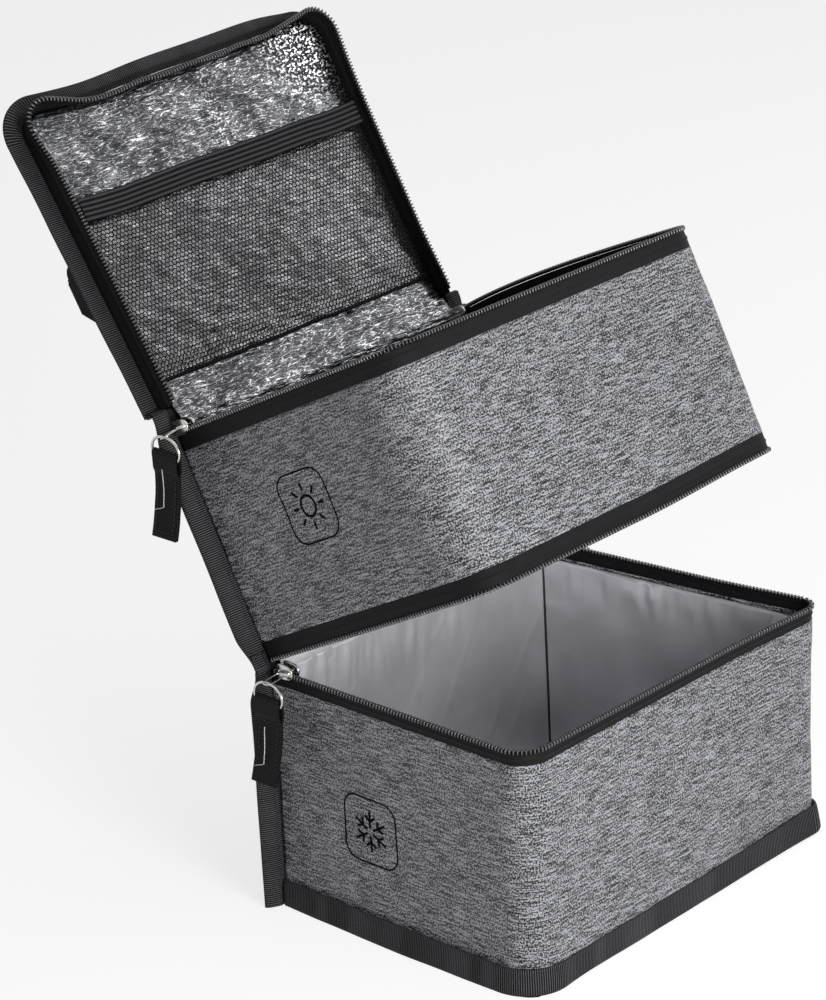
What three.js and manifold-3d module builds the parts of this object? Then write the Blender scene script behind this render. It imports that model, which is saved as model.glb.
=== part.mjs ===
// Two-compartment insulated cooler bag, shown fanned open as it stands on a table.
// Millimetres, +Z up. X runs along the fold lines, the front is at -Y, and the origin
// is the centre of the base's underside. "Near" is the side at -X, "far" the one at +X.
import * as THREE from 'three';
import { mergeVertices } from 'three/addons/utils/BufferGeometryUtils.js';
import Module from 'manifold-3d';

const wasm = await Module();
wasm.setup();

// Overall size of the closed bag
const backWidth = 250;
const frontWidth = 272;
const bagDepth = 205;
const lowerHeight = 155;
const middleHeight = 149;
const lidHeight = 18.5;
const lidFoldHeight = 12;
const cornerRadius = 18;

// How far each part stands open, in degrees from closed
const middleOpenDeg = 26;
const lidOpenDeg = 94;

// Layers of a wall, from the outside in
const fabricThick = 1.2;
const foamThick = 4.5;
const lidFoamThick = 3;
const liningThick = 0.8;
const boardThick = 1.5;
const seat = 0.3;
const hingeGap = 0.5;
const foldClear = 2;

// Zips
const tapeBand = 14;
const tapeThick = 1.2;
const tapeInset = 0.2;
const chainHeight = 2.8;
const chainWidth = 3.4;
const chainProud = 0.8;
const chainHalfGap = 1;
const toothPitch = 6.5;
const toothDepth = 0.7;

// Ribbed ribbon that binds the seams
const bindingReach = 13.2;
const bindingThick = 3;
const baseBindingHeight = 17;
const baseBindingFlare = 6;
const baseBindingThick = 2.6;
const cornerBlend = 1.5;

// Mesh pocket inside the lid
const pocketStart = 16;
const pocketLength = 100;
const elasticWidth = 24;
const elasticThick = 1.5;
const elasticRidges = 5;
const elasticGroove = 0.6;
const netThick = 0.9;
const netDrop = 6.2;
const netColumns = 20;
const netRows = 9;
const netStrand = 1.6;
const netHem = 3;

// Carry handle on the lid
const handleCentre = 96;
const handleRise = 80;
const handleThick = 2.4;
const handleEndWidth = 24;
const handleGripWidth = 30;
const handleGripThick = 7;
const handleGripLength = 92;
const handleArchPower = 4;
const handleSteps = 28;
const handleEdge = 0.7;
const handleGripEdge = 0.55;
const handleGripTaperOut = 12;
const handleGripTaperIn = 2;
const tabBaseWidth = 46;
const tabTopWidth = 26;
const tabHeight = 27;
const tabThick = 1.6;
const tabEdge = 1.5;
const handlePivotHeight = 14;

// Zip sliders and their pulls
const sliderLength = 13;
const sliderHeight = 9.6;
const sliderPlate = 1.4;
const sliderClear = 0.4;
const sliderPostLength = 3;
const sliderPostThick = 1;
const sliderNose = 0.55;
const sliderShoulder = 0.35;
const sliderTail = 0.8;
const sliderTailHeight = 0.7;
const bailSpan = 9;
const bailRise = 2.8;
const bailWire = 0.7;
const bailShoulder = 0.92;
const bailShoulderRise = 0.55;
const bailCrown = 0.5;
const bailSteps = 12;
const linkWire = 0.6;
const linkHalfWidth = 3;
const linkTiltDeg = 8;
const linkClear = 0.45;
const pullOffset = 16;
const ringRadius = 11.6;
const ringWire = 0.9;
const ringPoints = 24;
const webbingWidth = 20;
const webbingThick = 1.2;
const webbingLength = 55;
const webbingClear = 0.4;
const wireSides = 6;
const arcSteps = 6;
const lowerSliderGap = 6;
const upperSliderGap = 1;

// Sizes worked out from the above
const bagWidth = (backWidth + frontWidth) / 2;
const halfWidth = bagWidth / 2;
const spreadAngle = Math.atan2((frontWidth - backWidth) / 2, bagDepth);
const foamOuter = -(fabricThick + seat);
const foamInner = foamOuter - foamThick;
const liningOuter = foamInner - seat;
const liningInner = liningOuter - liningThick;
const foamHalf = halfWidth + liningInner - seat;
const chainOuter = chainProud;
const chainInner = chainProud - chainWidth;
const chainTop = chainHalfGap + chainHeight;
const tapeStart = chainTop + seat;
const tapeOuter = -tapeInset;
const tapeInner = tapeOuter - tapeThick;
const chainBack = -(bindingThick + seat);
const sliderStop = bindingThick + sliderLength / 2;

const materials = {
  greyPolyester: new THREE.MeshStandardMaterial({ color: 0x6b6c70, roughness: 0.95, metalness: 0 }),
  blackPolyester: new THREE.MeshStandardMaterial({ color: 0x1d1d1f, roughness: 0.95, metalness: 0 }),
  ribbedRibbon: new THREE.MeshStandardMaterial({ color: 0x222224, roughness: 0.9, metalness: 0 }),
  zipTape: new THREE.MeshStandardMaterial({ color: 0x131315, roughness: 0.9, metalness: 0 }),
  zipCoil: new THREE.MeshStandardMaterial({ color: 0x101012, roughness: 0.35, metalness: 0 }),
  foam: new THREE.MeshStandardMaterial({ color: 0xe4e4e0, roughness: 0.9, metalness: 0 }),
  board: new THREE.MeshStandardMaterial({ color: 0x33363a, roughness: 0.6, metalness: 0 }),
  silverLining: new THREE.MeshStandardMaterial({ color: 0x8d8d90, roughness: 0.45, metalness: 0.2 }),
  foilLining: new THREE.MeshStandardMaterial({ color: 0xa8a9ab, roughness: 0.25, metalness: 0.9 }),
  mesh: new THREE.MeshStandardMaterial({ color: 0x18181a, roughness: 0.8, metalness: 0 }),
  elastic: new THREE.MeshStandardMaterial({ color: 0x202022, roughness: 0.85, metalness: 0 }),
  webbing: new THREE.MeshStandardMaterial({ color: 0x19191b, roughness: 0.9, metalness: 0 }),
  nickel: new THREE.MeshStandardMaterial({ color: 0xc9c9c7, roughness: 0.22, metalness: 1 }),
};

// Solids and booleans

function toSolid(geometry) {
  const bare = geometry.index ? geometry.toNonIndexed() : geometry.clone();
  for (const name of Object.keys(bare.attributes)) {
    if (name !== 'position') bare.deleteAttribute(name);
  }
  const merged = mergeVertices(bare, 1e-4);
  return new wasm.Manifold(new wasm.Mesh({
    numProp: 3,
    vertProperties: new Float32Array(merged.attributes.position.array),
    triVerts: new Uint32Array(merged.index.array),
  }));
}

function toGeometry(solid) {
  const data = solid.getMesh();
  const geometry = new THREE.BufferGeometry();
  geometry.setAttribute('position', new THREE.BufferAttribute(new Float32Array(data.vertProperties), 3));
  geometry.setIndex(new THREE.BufferAttribute(new Uint32Array(data.triVerts), 1));
  return geometry;
}

function join(...geometries) {
  return toGeometry(geometries.map(toSolid).reduce((sum, solid) => sum.add(solid)));
}

function cut(geometry, ...tools) {
  return toGeometry(tools.map(toSolid).reduce((rest, tool) => rest.subtract(tool), toSolid(geometry)));
}

function block(x0, x1, y0, y1, z0, z1) {
  const geometry = new THREE.BoxGeometry(x1 - x0, y1 - y0, z1 - z0);
  return geometry.translate((x0 + x1) / 2, (y0 + y1) / 2, (z0 + z1) / 2);
}

// An outline in the YZ plane carried along X from x0 to x1
function extrudeAlongX(points, x0, x1) {
  const shape = new THREE.Shape(points.map(([y, z]) => new THREE.Vector2(y, z)));
  const geometry = new THREE.ExtrudeGeometry(shape, { depth: x1 - x0, bevelEnabled: false });
  geometry.applyMatrix4(new THREE.Matrix4().makeBasis(
    new THREE.Vector3(0, 1, 0), new THREE.Vector3(0, 0, 1), new THREE.Vector3(1, 0, 0)));
  return geometry.translate(x0, 0, 0);
}

// Plan of a compartment: its back lies on y = 0, its front on y = -bagDepth, and the
// two front corners are round. An offset is measured outwards from the grey wall's face.
function plan(offset, backY = 0) {
  const shape = new THREE.Shape();
  const x = halfWidth + offset;
  const front = -bagDepth - offset;
  const radius = cornerRadius + offset;
  shape.moveTo(x, backY);
  shape.lineTo(-x, backY);
  shape.lineTo(-x, front + radius);
  shape.absarc(-x + radius, front + radius, radius, Math.PI, 1.5 * Math.PI, false);
  shape.lineTo(x - radius, front);
  shape.absarc(x - radius, front + radius, radius, 1.5 * Math.PI, 2 * Math.PI, false);
  shape.closePath();
  return shape;
}

function slab(offset, backY, z0, z1) {
  const geometry = new THREE.ExtrudeGeometry(plan(offset, backY), {
    depth: z1 - z0, bevelEnabled: false, curveSegments: arcSteps,
  });
  return geometry.translate(0, 0, z0);
}

// Stations along the U from the near back edge, round the front, to the far back edge.
// Each has a foot point, and a direction along which offsets are measured.
function uStations(backY, step) {
  const stations = [];
  const straight = (from, to, nx, ny) => {
    const length = Math.hypot(to[0] - from[0], to[1] - from[1]);
    const count = step ? Math.max(1, Math.round(length / step)) : 1;
    for (let i = 0; i <= count; i += 1) {
      const t = i / count;
      stations.push({
        x: from[0] + (to[0] - from[0]) * t, y: from[1] + (to[1] - from[1]) * t, nx, ny,
      });
    }
  };
  const arc = (cx, cy, startAngle) => {
    const count = step ? Math.max(4, Math.round((cornerRadius * Math.PI) / 2 / step)) : arcSteps;
    for (let i = 1; i < count; i += 1) {
      const angle = startAngle + (Math.PI / 2) * (i / count);
      const nx = Math.cos(angle);
      const ny = Math.sin(angle);
      stations.push({ x: cx + cornerRadius * nx, y: cy + cornerRadius * ny, nx, ny });
    }
  };
  const arcY = -bagDepth + cornerRadius;
  const arcX = halfWidth - cornerRadius;
  straight([-halfWidth, backY], [-halfWidth, arcY], -1, 0);
  arc(-arcX, arcY, Math.PI);
  straight([-arcX, -bagDepth], [arcX, -bagDepth], 0, -1);
  arc(arcX, arcY, 1.5 * Math.PI);
  straight([halfWidth, arcY], [halfWidth, backY], 1, 0);
  return stations;
}

// Carries a closed section of [offset, z] points, listed anticlockwise, along stations.
// sectionAt may change the section from one station to the next.
function sweepSection(stations, sectionAt) {
  const rings = stations.map((station, i) => sectionAt(i).map(([offset, z]) => [
    station.x + station.nx * offset, station.y + station.ny * offset, z,
  ]));
  const size = rings[0].length;
  const positions = rings.flat(2);
  const index = [];
  for (let i = 0; i < rings.length - 1; i += 1) {
    for (let j = 0; j < size; j += 1) {
      const a = i * size + j;
      const b = i * size + ((j + 1) % size);
      index.push(a, a + size, b, b, a + size, b + size);
    }
  }
  const flat = sectionAt(0).map(([offset, z]) => new THREE.Vector2(offset, z));
  const last = (rings.length - 1) * size;
  for (const [a, b, c] of THREE.ShapeUtils.triangulateShape(flat, [])) {
    index.push(a, b, c, last + a, last + c, last + b);
  }
  const geometry = new THREE.BufferGeometry();
  geometry.setAttribute('position', new THREE.Float32BufferAttribute(positions, 3));
  geometry.setIndex(index);
  return geometry;
}

function uBand(inner, outer, z0, z1, backY) {
  const section = [[inner, z0], [outer, z0], [outer, z1], [inner, z1]];
  return sweepSection(uStations(backY), () => section);
}

// Zip halves

// Tape with a facing turned inwards over the foam, which closes the wall's sandwich.
// The fold line is z = 0 and the tape grows towards side * z.
function zipTape(side, backY) {
  const facing = tapeBand - seat;
  const lip = facing - tapeThick;
  const section = [
    [tapeOuter, tapeStart], [tapeOuter, facing], [liningInner, facing],
    [liningInner, lip], [tapeInner, lip], [tapeInner, tapeStart],
  ];
  const upright = counterClockwise(section.map(([offset, z]) => [offset, side * z]));
  return sweepSection(uStations(backY), () => upright);
}

function counterClockwise(points) {
  const area = THREE.ShapeUtils.area(points.map(([u, v]) => new THREE.Vector2(u, v)));
  return area < 0 ? [...points].reverse() : points;
}

// One half of a coil zip: a bead whose free edge and outer face carry the teeth
function zipChain(side, backY) {
  const stations = uStations(backY, toothPitch / 2);
  const sectionAt = (i) => {
    const bite = i % 2 ? toothDepth : 0;
    return counterClockwise([
      [chainInner + bite, side * (chainHalfGap + bite)],
      [chainOuter - bite, side * (chainHalfGap + bite)],
      [chainOuter - bite, side * chainTop],
      [chainInner + bite, side * chainTop],
    ]);
  };
  return sweepSection(stations, sectionAt);
}

// Slider and its pull, made for a straight run of zip along Y at the near side.
// The foot is the point of the wall's face on the fold line; outwards is -X.

function sliderPlateOutline() {
  const half = sliderLength / 2;
  const tall = sliderHeight / 2;
  const nose = tall * sliderNose;
  return [
    [-half, -nose], [-half * sliderShoulder, -tall],
    [half * sliderTail, -tall], [half, -tall * sliderTailHeight],
    [half, tall * sliderTailHeight], [half * sliderTail, tall],
    [-half * sliderShoulder, tall], [-half, nose],
  ];
}

const sliderPlateFace = chainOuter + sliderClear;
const sliderOuterFace = sliderPlateFace + sliderPlate;
const sliderInnerFace = chainInner - sliderClear;
const bailCentre = sliderOuterFace + bailRise;

function sliderBody() {
  const outline = sliderPlateOutline();
  const outer = extrudeAlongX(outline, -sliderOuterFace, -sliderPlateFace);
  const inner = extrudeAlongX(outline, -sliderInnerFace, -sliderInnerFace + sliderPlate);
  const post = block(
    -sliderPlateFace - sliderPlate / 2, -sliderInnerFace + sliderPlate / 2,
    -sliderPostLength / 2, sliderPostLength / 2, -sliderPostThick / 2, sliderPostThick / 2);
  const half = bailSpan / 2;
  const foot = -sliderOuterFace + sliderPlate / 2;
  const shoulder = -sliderOuterFace - bailRise * bailShoulderRise;
  const arch = new THREE.CatmullRomCurve3([
    new THREE.Vector3(foot, -half, 0), new THREE.Vector3(shoulder, -half * bailShoulder, 0),
    new THREE.Vector3(-bailCentre, -half * bailCrown, 0), new THREE.Vector3(-bailCentre, half * bailCrown, 0),
    new THREE.Vector3(shoulder, half * bailShoulder, 0), new THREE.Vector3(foot, half, 0),
  ]);
  const bail = new THREE.ExtrudeGeometry(circle(bailWire, wireSides), {
    steps: bailSteps, bevelEnabled: false, extrudePath: arch,
  });
  return join(outer, inner, post, bail);
}

function circle(radius, sides) {
  const points = Array.from({ length: sides }, (_, i) => {
    const angle = (2 * Math.PI * (i + 0.5)) / sides;
    return new THREE.Vector2(radius * Math.cos(angle), radius * Math.sin(angle));
  });
  return new THREE.Shape(points);
}

// A wire of the given radius bent along a closed flat outline, in the outline's own plane
function closedWire(points, radius, sides) {
  const count = points.length;
  const positions = [];
  points.forEach((point, i) => {
    const before = points[(i + count - 1) % count];
    const after = points[(i + 1) % count];
    const along = new THREE.Vector2(after[0] - before[0], after[1] - before[1]).normalize();
    for (let j = 0; j < sides; j += 1) {
      const angle = (2 * Math.PI * (j + 0.5)) / sides;
      const out = radius * Math.cos(angle);
      positions.push(point[0] + along.y * out, point[1] - along.x * out, radius * Math.sin(angle));
    }
  });
  const index = [];
  for (let i = 0; i < count; i += 1) {
    for (let j = 0; j < sides; j += 1) {
      const a = i * sides + j;
      const b = i * sides + ((j + 1) % sides);
      const c = ((i + 1) % count) * sides + j;
      const d = ((i + 1) % count) * sides + ((j + 1) % sides);
      index.push(a, c, b, b, c, d);
    }
  }
  const geometry = new THREE.BufferGeometry();
  geometry.setAttribute('position', new THREE.Float32BufferAttribute(positions, 3));
  geometry.setIndex(index);
  return geometry;
}

// The link runs under the bail and carries the ring at its outer end
const linkStart = sliderOuterFace + linkClear + linkWire;
const linkTilt = THREE.MathUtils.degToRad(linkTiltDeg);
const ringFromStart = (pullOffset - linkStart) / Math.cos(linkTilt);
const linkLength = ringFromStart + ringWire + linkClear + linkWire;
const ringDrop = ringFromStart * Math.sin(linkTilt);

function pullLink() {
  const points = [];
  for (let i = 0; i <= arcSteps; i += 1) {
    const angle = Math.PI / 2 + (Math.PI * i) / arcSteps;
    points.push([linkHalfWidth + linkHalfWidth * Math.cos(angle), linkHalfWidth * Math.sin(angle)]);
  }
  for (let i = 0; i <= arcSteps; i += 1) {
    const angle = -Math.PI / 2 + (Math.PI * i) / arcSteps;
    points.push([
      linkLength - linkHalfWidth + linkHalfWidth * Math.cos(angle), linkHalfWidth * Math.sin(angle),
    ]);
  }
  const geometry = closedWire(points, linkWire, wireSides);
  const outwards = new THREE.Vector3(-Math.cos(linkTilt), 0, -Math.sin(linkTilt));
  const up = new THREE.Vector3(-Math.sin(linkTilt), 0, Math.cos(linkTilt));
  geometry.applyMatrix4(new THREE.Matrix4().makeBasis(outwards, up, outwards.clone().cross(up)));
  return geometry.translate(-linkStart, 0, 0);
}

// Ring in the YZ plane, hung from its top, which is the origin
function pullRing() {
  const points = Array.from({ length: ringPoints }, (_, i) => {
    const angle = (2 * Math.PI * i) / ringPoints;
    return [ringRadius * Math.cos(angle), ringRadius * Math.sin(angle)];
  });
  const geometry = closedWire(points, ringWire, wireSides);
  geometry.applyMatrix4(new THREE.Matrix4().makeBasis(
    new THREE.Vector3(0, 1, 0), new THREE.Vector3(0, 0, 1), new THREE.Vector3(1, 0, 0)));
  return geometry.translate(0, 0, -ringRadius);
}

// Webbing folded over the lower half of the ring and sewn to itself below it
function pullWebbing() {
  const gap = ringWire + webbingClear;
  const outer = gap + webbingThick;
  const pocket = ringRadius + ringWire + webbingClear;
  const sewn = pocket + 2 * outer;
  const shape = new THREE.Shape();
  shape.moveTo(-webbingThick, -webbingLength);
  shape.lineTo(webbingThick, -webbingLength);
  shape.lineTo(webbingThick, -sewn);
  shape.lineTo(outer, -pocket);
  shape.lineTo(outer, -outer);
  shape.absarc(0, -outer, outer, 0, Math.PI, false);
  shape.lineTo(-outer, -pocket);
  shape.lineTo(-webbingThick, -sewn);
  shape.closePath();
  const hollow = new THREE.Path();
  hollow.moveTo(0, -sewn + webbingThick);
  hollow.lineTo(gap, -pocket);
  hollow.lineTo(gap, -outer);
  hollow.absarc(0, -outer, gap, 0, Math.PI, false);
  hollow.lineTo(-gap, -pocket);
  hollow.closePath();
  shape.holes.push(hollow);
  const geometry = new THREE.ExtrudeGeometry(shape, {
    depth: webbingWidth, bevelEnabled: false, curveSegments: arcSteps,
  });
  geometry.applyMatrix4(new THREE.Matrix4().makeBasis(
    new THREE.Vector3(1, 0, 0), new THREE.Vector3(0, 0, 1), new THREE.Vector3(0, -1, 0)));
  return geometry.translate(0, webbingWidth / 2, -ringRadius);
}

function mirrorX(geometry) {
  return toGeometry(toSolid(geometry).mirror([1, 0, 0]));
}

function piece(name, geometry, material) {
  const mesh = new THREE.Mesh(geometry, material);
  mesh.name = name;
  return mesh;
}

// The sides stand closer together at the back than at the front. The sewn pieces are drawn
// bagWidth wide from back to front, and this spreads them to the width that each y has.
function sewn(name, geometry, material) {
  const position = geometry.attributes.position;
  for (let i = 0; i < position.count; i += 1) {
    position.setX(i, position.getX(i) * (widthAt(-position.getY(i)) / bagWidth));
  }
  geometry.deleteAttribute('normal');
  return piece(name, geometry, material);
}

function widthAt(depth) {
  return backWidth + (frontWidth - backWidth) * (depth / bagDepth);
}

// A slider with its link, ring and webbing, on the zip whose fold line is the parent's z = 0.
// hangDeg turns the ring and webbing back to the vertical where the zip is tilted.
function zipSlider(label, farSide, park, hangDeg) {
  const group = new THREE.Group();
  const side = farSide ? 1 : -1;
  const place = (geometry) => (farSide ? mirrorX(geometry) : geometry);
  group.position.set((side * widthAt(park)) / 2, -park, 0);
  group.rotation.z = side * spreadAngle;
  group.add(piece(`${label}_slider`, place(sliderBody()), materials.nickel));
  group.add(piece(`${label}_pull_link`, place(pullLink()), materials.nickel));
  const hanging = new THREE.Group();
  hanging.position.set(side * pullOffset, 0, -ringDrop);
  hanging.rotation.x = THREE.MathUtils.degToRad(hangDeg);
  hanging.add(piece(`${label}_pull_ring`, pullRing(), materials.nickel));
  hanging.add(piece(`${label}_pull_webbing`, pullWebbing(), materials.webbing));
  group.add(hanging);
  return group;
}

// Lining tray, open at the top. Its back runs on up to the fold and turns out over the foam.
function liningTray(floor, wallTop, foldZ) {
  const back = foamInner - seat;
  const tray = cut(slab(liningOuter, back, floor, wallTop),
    slab(liningInner, back - liningThick, floor + liningThick, wallTop + 1));
  const flap = block(-foamHalf, foamHalf, back - liningThick, back, wallTop - 1, foldZ);
  const turn = block(-foamHalf, foamHalf, back - liningThick / 2, foamOuter, foldZ - liningThick, foldZ);
  return join(tray, flap, turn);
}

// Bindings

function backBinding(farSide, z0, z1) {
  const inner = halfWidth + seat;
  const outer = halfWidth + bindingReach;
  const outline = [
    [inner, -bindingThick], [outer - cornerBlend, -bindingThick], [outer, -bindingThick / 2],
    [outer - cornerBlend, 0], [inner, 0],
  ];
  const shape = new THREE.Shape(outline.map(([x, y]) => new THREE.Vector2(x, y)));
  const geometry = new THREE.ExtrudeGeometry(shape, { depth: z1 - z0, bevelEnabled: false });
  geometry.translate(0, 0, z0);
  return farSide ? geometry : mirrorX(geometry);
}

// Lower compartment, with z = 0 on the floor

function lowerCompartment() {
  const group = new THREE.Group();
  const wallTop = lowerHeight - tapeBand;
  const layerStart = fabricThick + seat;
  const backEnd = -(fabricThick + seat);
  const backFoamFront = backEnd - foamThick;
  const wall = uBand(-fabricThick, 0, layerStart, wallTop, backEnd);
  group.add(sewn('lower_gusset_wall', wall, materials.greyPolyester));
  const foam = uBand(foamInner, foamOuter, layerStart, wallTop, backEnd);
  group.add(sewn('lower_wall_foam', foam, materials.foam));
  const spine = extrudeAlongX([
    [-bagDepth + seat, 0], [0, 0], [0, lowerHeight - hingeGap], [-fabricThick, lowerHeight - hingeGap],
    [-fabricThick, fabricThick], [-bagDepth + seat, fabricThick],
  ], -halfWidth, halfWidth);
  const corners = cut(block(-halfWidth - 1, halfWidth + 1, -bagDepth - 1, 1, -1, lowerHeight),
    slab(0, 1, -2, lowerHeight + 1));
  group.add(sewn('lower_spine_panel', cut(spine, corners), materials.blackPolyester));
  const backFoamTop = lowerHeight - foldClear - liningThick - seat;
  const backFoam = block(-foamHalf, foamHalf, backFoamFront, backEnd, layerStart, backFoamTop);
  group.add(sewn('lower_back_foam', backFoam, materials.foam));
  const bedBack = backFoamFront - seat;
  const boardTop = layerStart + boardThick;
  group.add(sewn('base_board', slab(foamInner - seat, bedBack, layerStart, boardTop), materials.board));
  const bedTop = boardTop + seat + foamThick;
  group.add(sewn('base_foam', slab(foamInner - seat, bedBack, boardTop + seat, bedTop), materials.foam));
  const liningFloor = bedTop + seat;
  const lining = liningTray(liningFloor, wallTop - seat, lowerHeight - foldClear);
  group.add(sewn('lower_lining', lining, materials.silverLining));
  const bindingSection = [
    [baseBindingFlare - baseBindingThick, 0], [baseBindingFlare, 0],
    [baseBindingThick, baseBindingHeight], [seat, baseBindingHeight], [seat, layerStart * 2],
  ];
  const binding = sweepSection(uStations(-bindingThick - seat), () => bindingSection);
  group.add(sewn('base_binding', binding, materials.ribbedRibbon));
  for (const [side, far] of [['near', false], ['far', true]]) {
    group.add(sewn(`lower_back_binding_${side}`, backBinding(far, 0, lowerHeight - hingeGap),
      materials.ribbedRibbon));
  }
  const zip = new THREE.Group();
  zip.position.z = lowerHeight;
  zip.add(sewn('lower_zip_tape_bottom', zipTape(-1, backEnd), materials.zipTape));
  zip.add(sewn('lower_zip_chain_bottom', zipChain(-1, chainBack), materials.zipCoil));
  zip.add(zipSlider('lower_near', false, sliderStop + lowerSliderGap, 0));
  zip.add(zipSlider('lower_far', true, sliderStop + lowerSliderGap, 0));
  group.add(zip);
  return group;
}

// Middle compartment, with z = 0 on the lower fold line

function middleCompartment() {
  const group = new THREE.Group();
  const wallTop = middleHeight - tapeBand;
  const backEnd = -(fabricThick + seat);
  const backFoamFront = backEnd - foamThick;
  const wall = uBand(-fabricThick, 0, tapeBand, wallTop, backEnd);
  group.add(sewn('middle_gusset_wall', wall, materials.greyPolyester));
  const foam = uBand(foamInner, foamOuter, tapeBand, wallTop, backEnd);
  group.add(sewn('middle_wall_foam', foam, materials.foam));
  const spineTop = middleHeight + lidFoldHeight - hingeGap;
  const spine = block(-halfWidth, halfWidth, -fabricThick, 0, hingeGap, spineTop);
  group.add(sewn('middle_spine_panel', spine, materials.blackPolyester));
  const backFoamTop = middleHeight - foldClear - liningThick - seat;
  const backFoam = block(-foamHalf, foamHalf, backFoamFront, backEnd, foldClear, backFoamTop);
  group.add(sewn('middle_back_foam', backFoam, materials.foam));
  const bedBack = backFoamFront - seat;
  const coverTop = tapeBand + liningThick;
  const cover = slab(foamInner - seat, bedBack, tapeBand, coverTop);
  group.add(sewn('divider_cover', cover, materials.silverLining));
  const bedTop = coverTop + seat + foamThick;
  group.add(sewn('divider_foam', slab(foamInner - seat, bedBack, coverTop + seat, bedTop), materials.foam));
  const liningFloor = bedTop + seat;
  const lining = liningTray(liningFloor, wallTop - seat, middleHeight - foldClear);
  group.add(sewn('middle_lining', lining, materials.foilLining));
  for (const [side, far] of [['near', false], ['far', true]]) {
    group.add(sewn(`middle_back_binding_${side}`, backBinding(far, hingeGap, spineTop),
      materials.ribbedRibbon));
  }
  group.add(sewn('lower_zip_tape_top', zipTape(1, backEnd), materials.zipTape));
  group.add(sewn('lower_zip_chain_top', zipChain(1, chainBack), materials.zipCoil));
  const zip = new THREE.Group();
  zip.position.z = middleHeight;
  zip.add(sewn('upper_zip_tape_bottom', zipTape(-1, backEnd), materials.zipTape));
  zip.add(sewn('upper_zip_chain_bottom', zipChain(-1, chainBack), materials.zipCoil));
  zip.add(zipSlider('upper_near', false, sliderStop + upperSliderGap, middleOpenDeg));
  zip.add(zipSlider('upper_far', true, sliderStop + upperSliderGap, middleOpenDeg));
  group.add(zip);
  return group;
}

// Lid, with z = 0 on the upper zip's middle line. It folds lidFoldHeight above that.

const lidUnder = lidHeight - fabricThick;
const lidFoamBottom = lidUnder - seat - lidFoamThick;
const lidLiningBottom = lidFoamBottom - seat - liningThick;

function lidTape(backY) {
  const section = counterClockwise([
    [tapeOuter, tapeStart], [tapeOuter, lidUnder - seat],
    [tapeInner, lidUnder - seat], [tapeInner, tapeStart],
  ]);
  return sweepSection(uStations(backY), () => section);
}

function lidBinding() {
  const z0 = lidHeight - bindingThick;
  const flat = sweepSection(uStations(0), () => [
    [seat, z0], [bindingReach - cornerBlend, z0], [bindingReach, z0 + bindingThick / 2],
    [bindingReach - cornerBlend, lidHeight], [seat, lidHeight],
  ]);
  const foot = lidFoldHeight + hingeGap;
  return join(flat, backBinding(false, foot, lidHeight), backBinding(true, foot, lidHeight));
}

// Flat net with diamond gaps, hemmed all round
function pocketNet() {
  const half = halfWidth + tapeInner - seat;
  const start = -pocketStart - pocketLength;
  const shape = new THREE.Shape();
  shape.moveTo(-half, start);
  shape.lineTo(half, start);
  shape.lineTo(half, -pocketStart);
  shape.lineTo(-half, -pocketStart);
  shape.closePath();
  const cellX = (2 * half - 2 * netHem) / netColumns;
  const cellY = (pocketLength - 2 * netHem) / netRows;
  const gap = (cx, cy) => {
    const hole = new THREE.Path();
    const rx = cellX / 2 - netStrand / 2;
    const ry = cellY / 2 - netStrand / 2;
    hole.moveTo(cx - rx, cy);
    hole.lineTo(cx, cy + ry);
    hole.lineTo(cx + rx, cy);
    hole.lineTo(cx, cy - ry);
    hole.closePath();
    shape.holes.push(hole);
  };
  for (let row = 0; row < netRows; row += 1) {
    const cy = start + netHem + cellY * (row + 0.5);
    for (let column = 0; column < netColumns; column += 1) {
      gap(-half + netHem + cellX * (column + 0.5), cy);
    }
  }
  return new THREE.ExtrudeGeometry(shape, { depth: netThick, bevelEnabled: false })
    .translate(0, 0, lidLiningBottom - netDrop - netThick);
}

// Elastic band with lengthwise ridges, sewn to the net's upper edge
function pocketElastic() {
  const half = halfWidth + tapeInner - seat;
  const back = -pocketStart - pocketLength - seat;
  const front = back - elasticWidth;
  const top = lidLiningBottom - netDrop;
  const ridge = elasticWidth / elasticRidges;
  const outline = [[back, top], [front, top]];
  for (let i = 0; i < elasticRidges; i += 1) {
    outline.push([front + ridge * i, top - elasticThick * elasticGroove]);
    outline.push([front + ridge * (i + 0.5), top - elasticThick]);
  }
  outline.push([back, top - elasticThick * elasticGroove]);
  return extrudeAlongX(outline, -half, half);
}

function lid() {
  const group = new THREE.Group();
  const backEnd = -(fabricThick + seat);
  const inset = tapeInner - seat;
  const panel = join(slab(0, 0, lidUnder, lidHeight),
    block(-halfWidth, halfWidth, -fabricThick, 0, lidFoldHeight + hingeGap, lidHeight - fabricThick / 2));
  group.add(sewn('lid_spine_panel', panel, materials.blackPolyester));
  group.add(sewn('lid_foam', slab(inset, backEnd, lidFoamBottom, lidUnder - seat), materials.foam));
  const lining = slab(inset, backEnd, lidLiningBottom, lidFoamBottom - seat);
  group.add(sewn('lid_lining', lining, materials.foilLining));
  group.add(sewn('upper_zip_tape_top', lidTape(backEnd), materials.zipTape));
  group.add(sewn('upper_zip_chain_top', zipChain(1, chainBack), materials.zipCoil));
  group.add(sewn('lid_binding', lidBinding(), materials.ribbedRibbon));
  group.add(sewn('pocket_net', pocketNet(), materials.mesh));
  group.add(sewn('pocket_elastic', pocketElastic(), materials.elastic));
  group.add(piece('handle_tab_near', handleTab(false), materials.webbing));
  group.add(piece('handle_tab_far', handleTab(true), materials.webbing));
  group.add(piece('carry_handle', carryHandle(), materials.webbing));
  return group;
}

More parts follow.
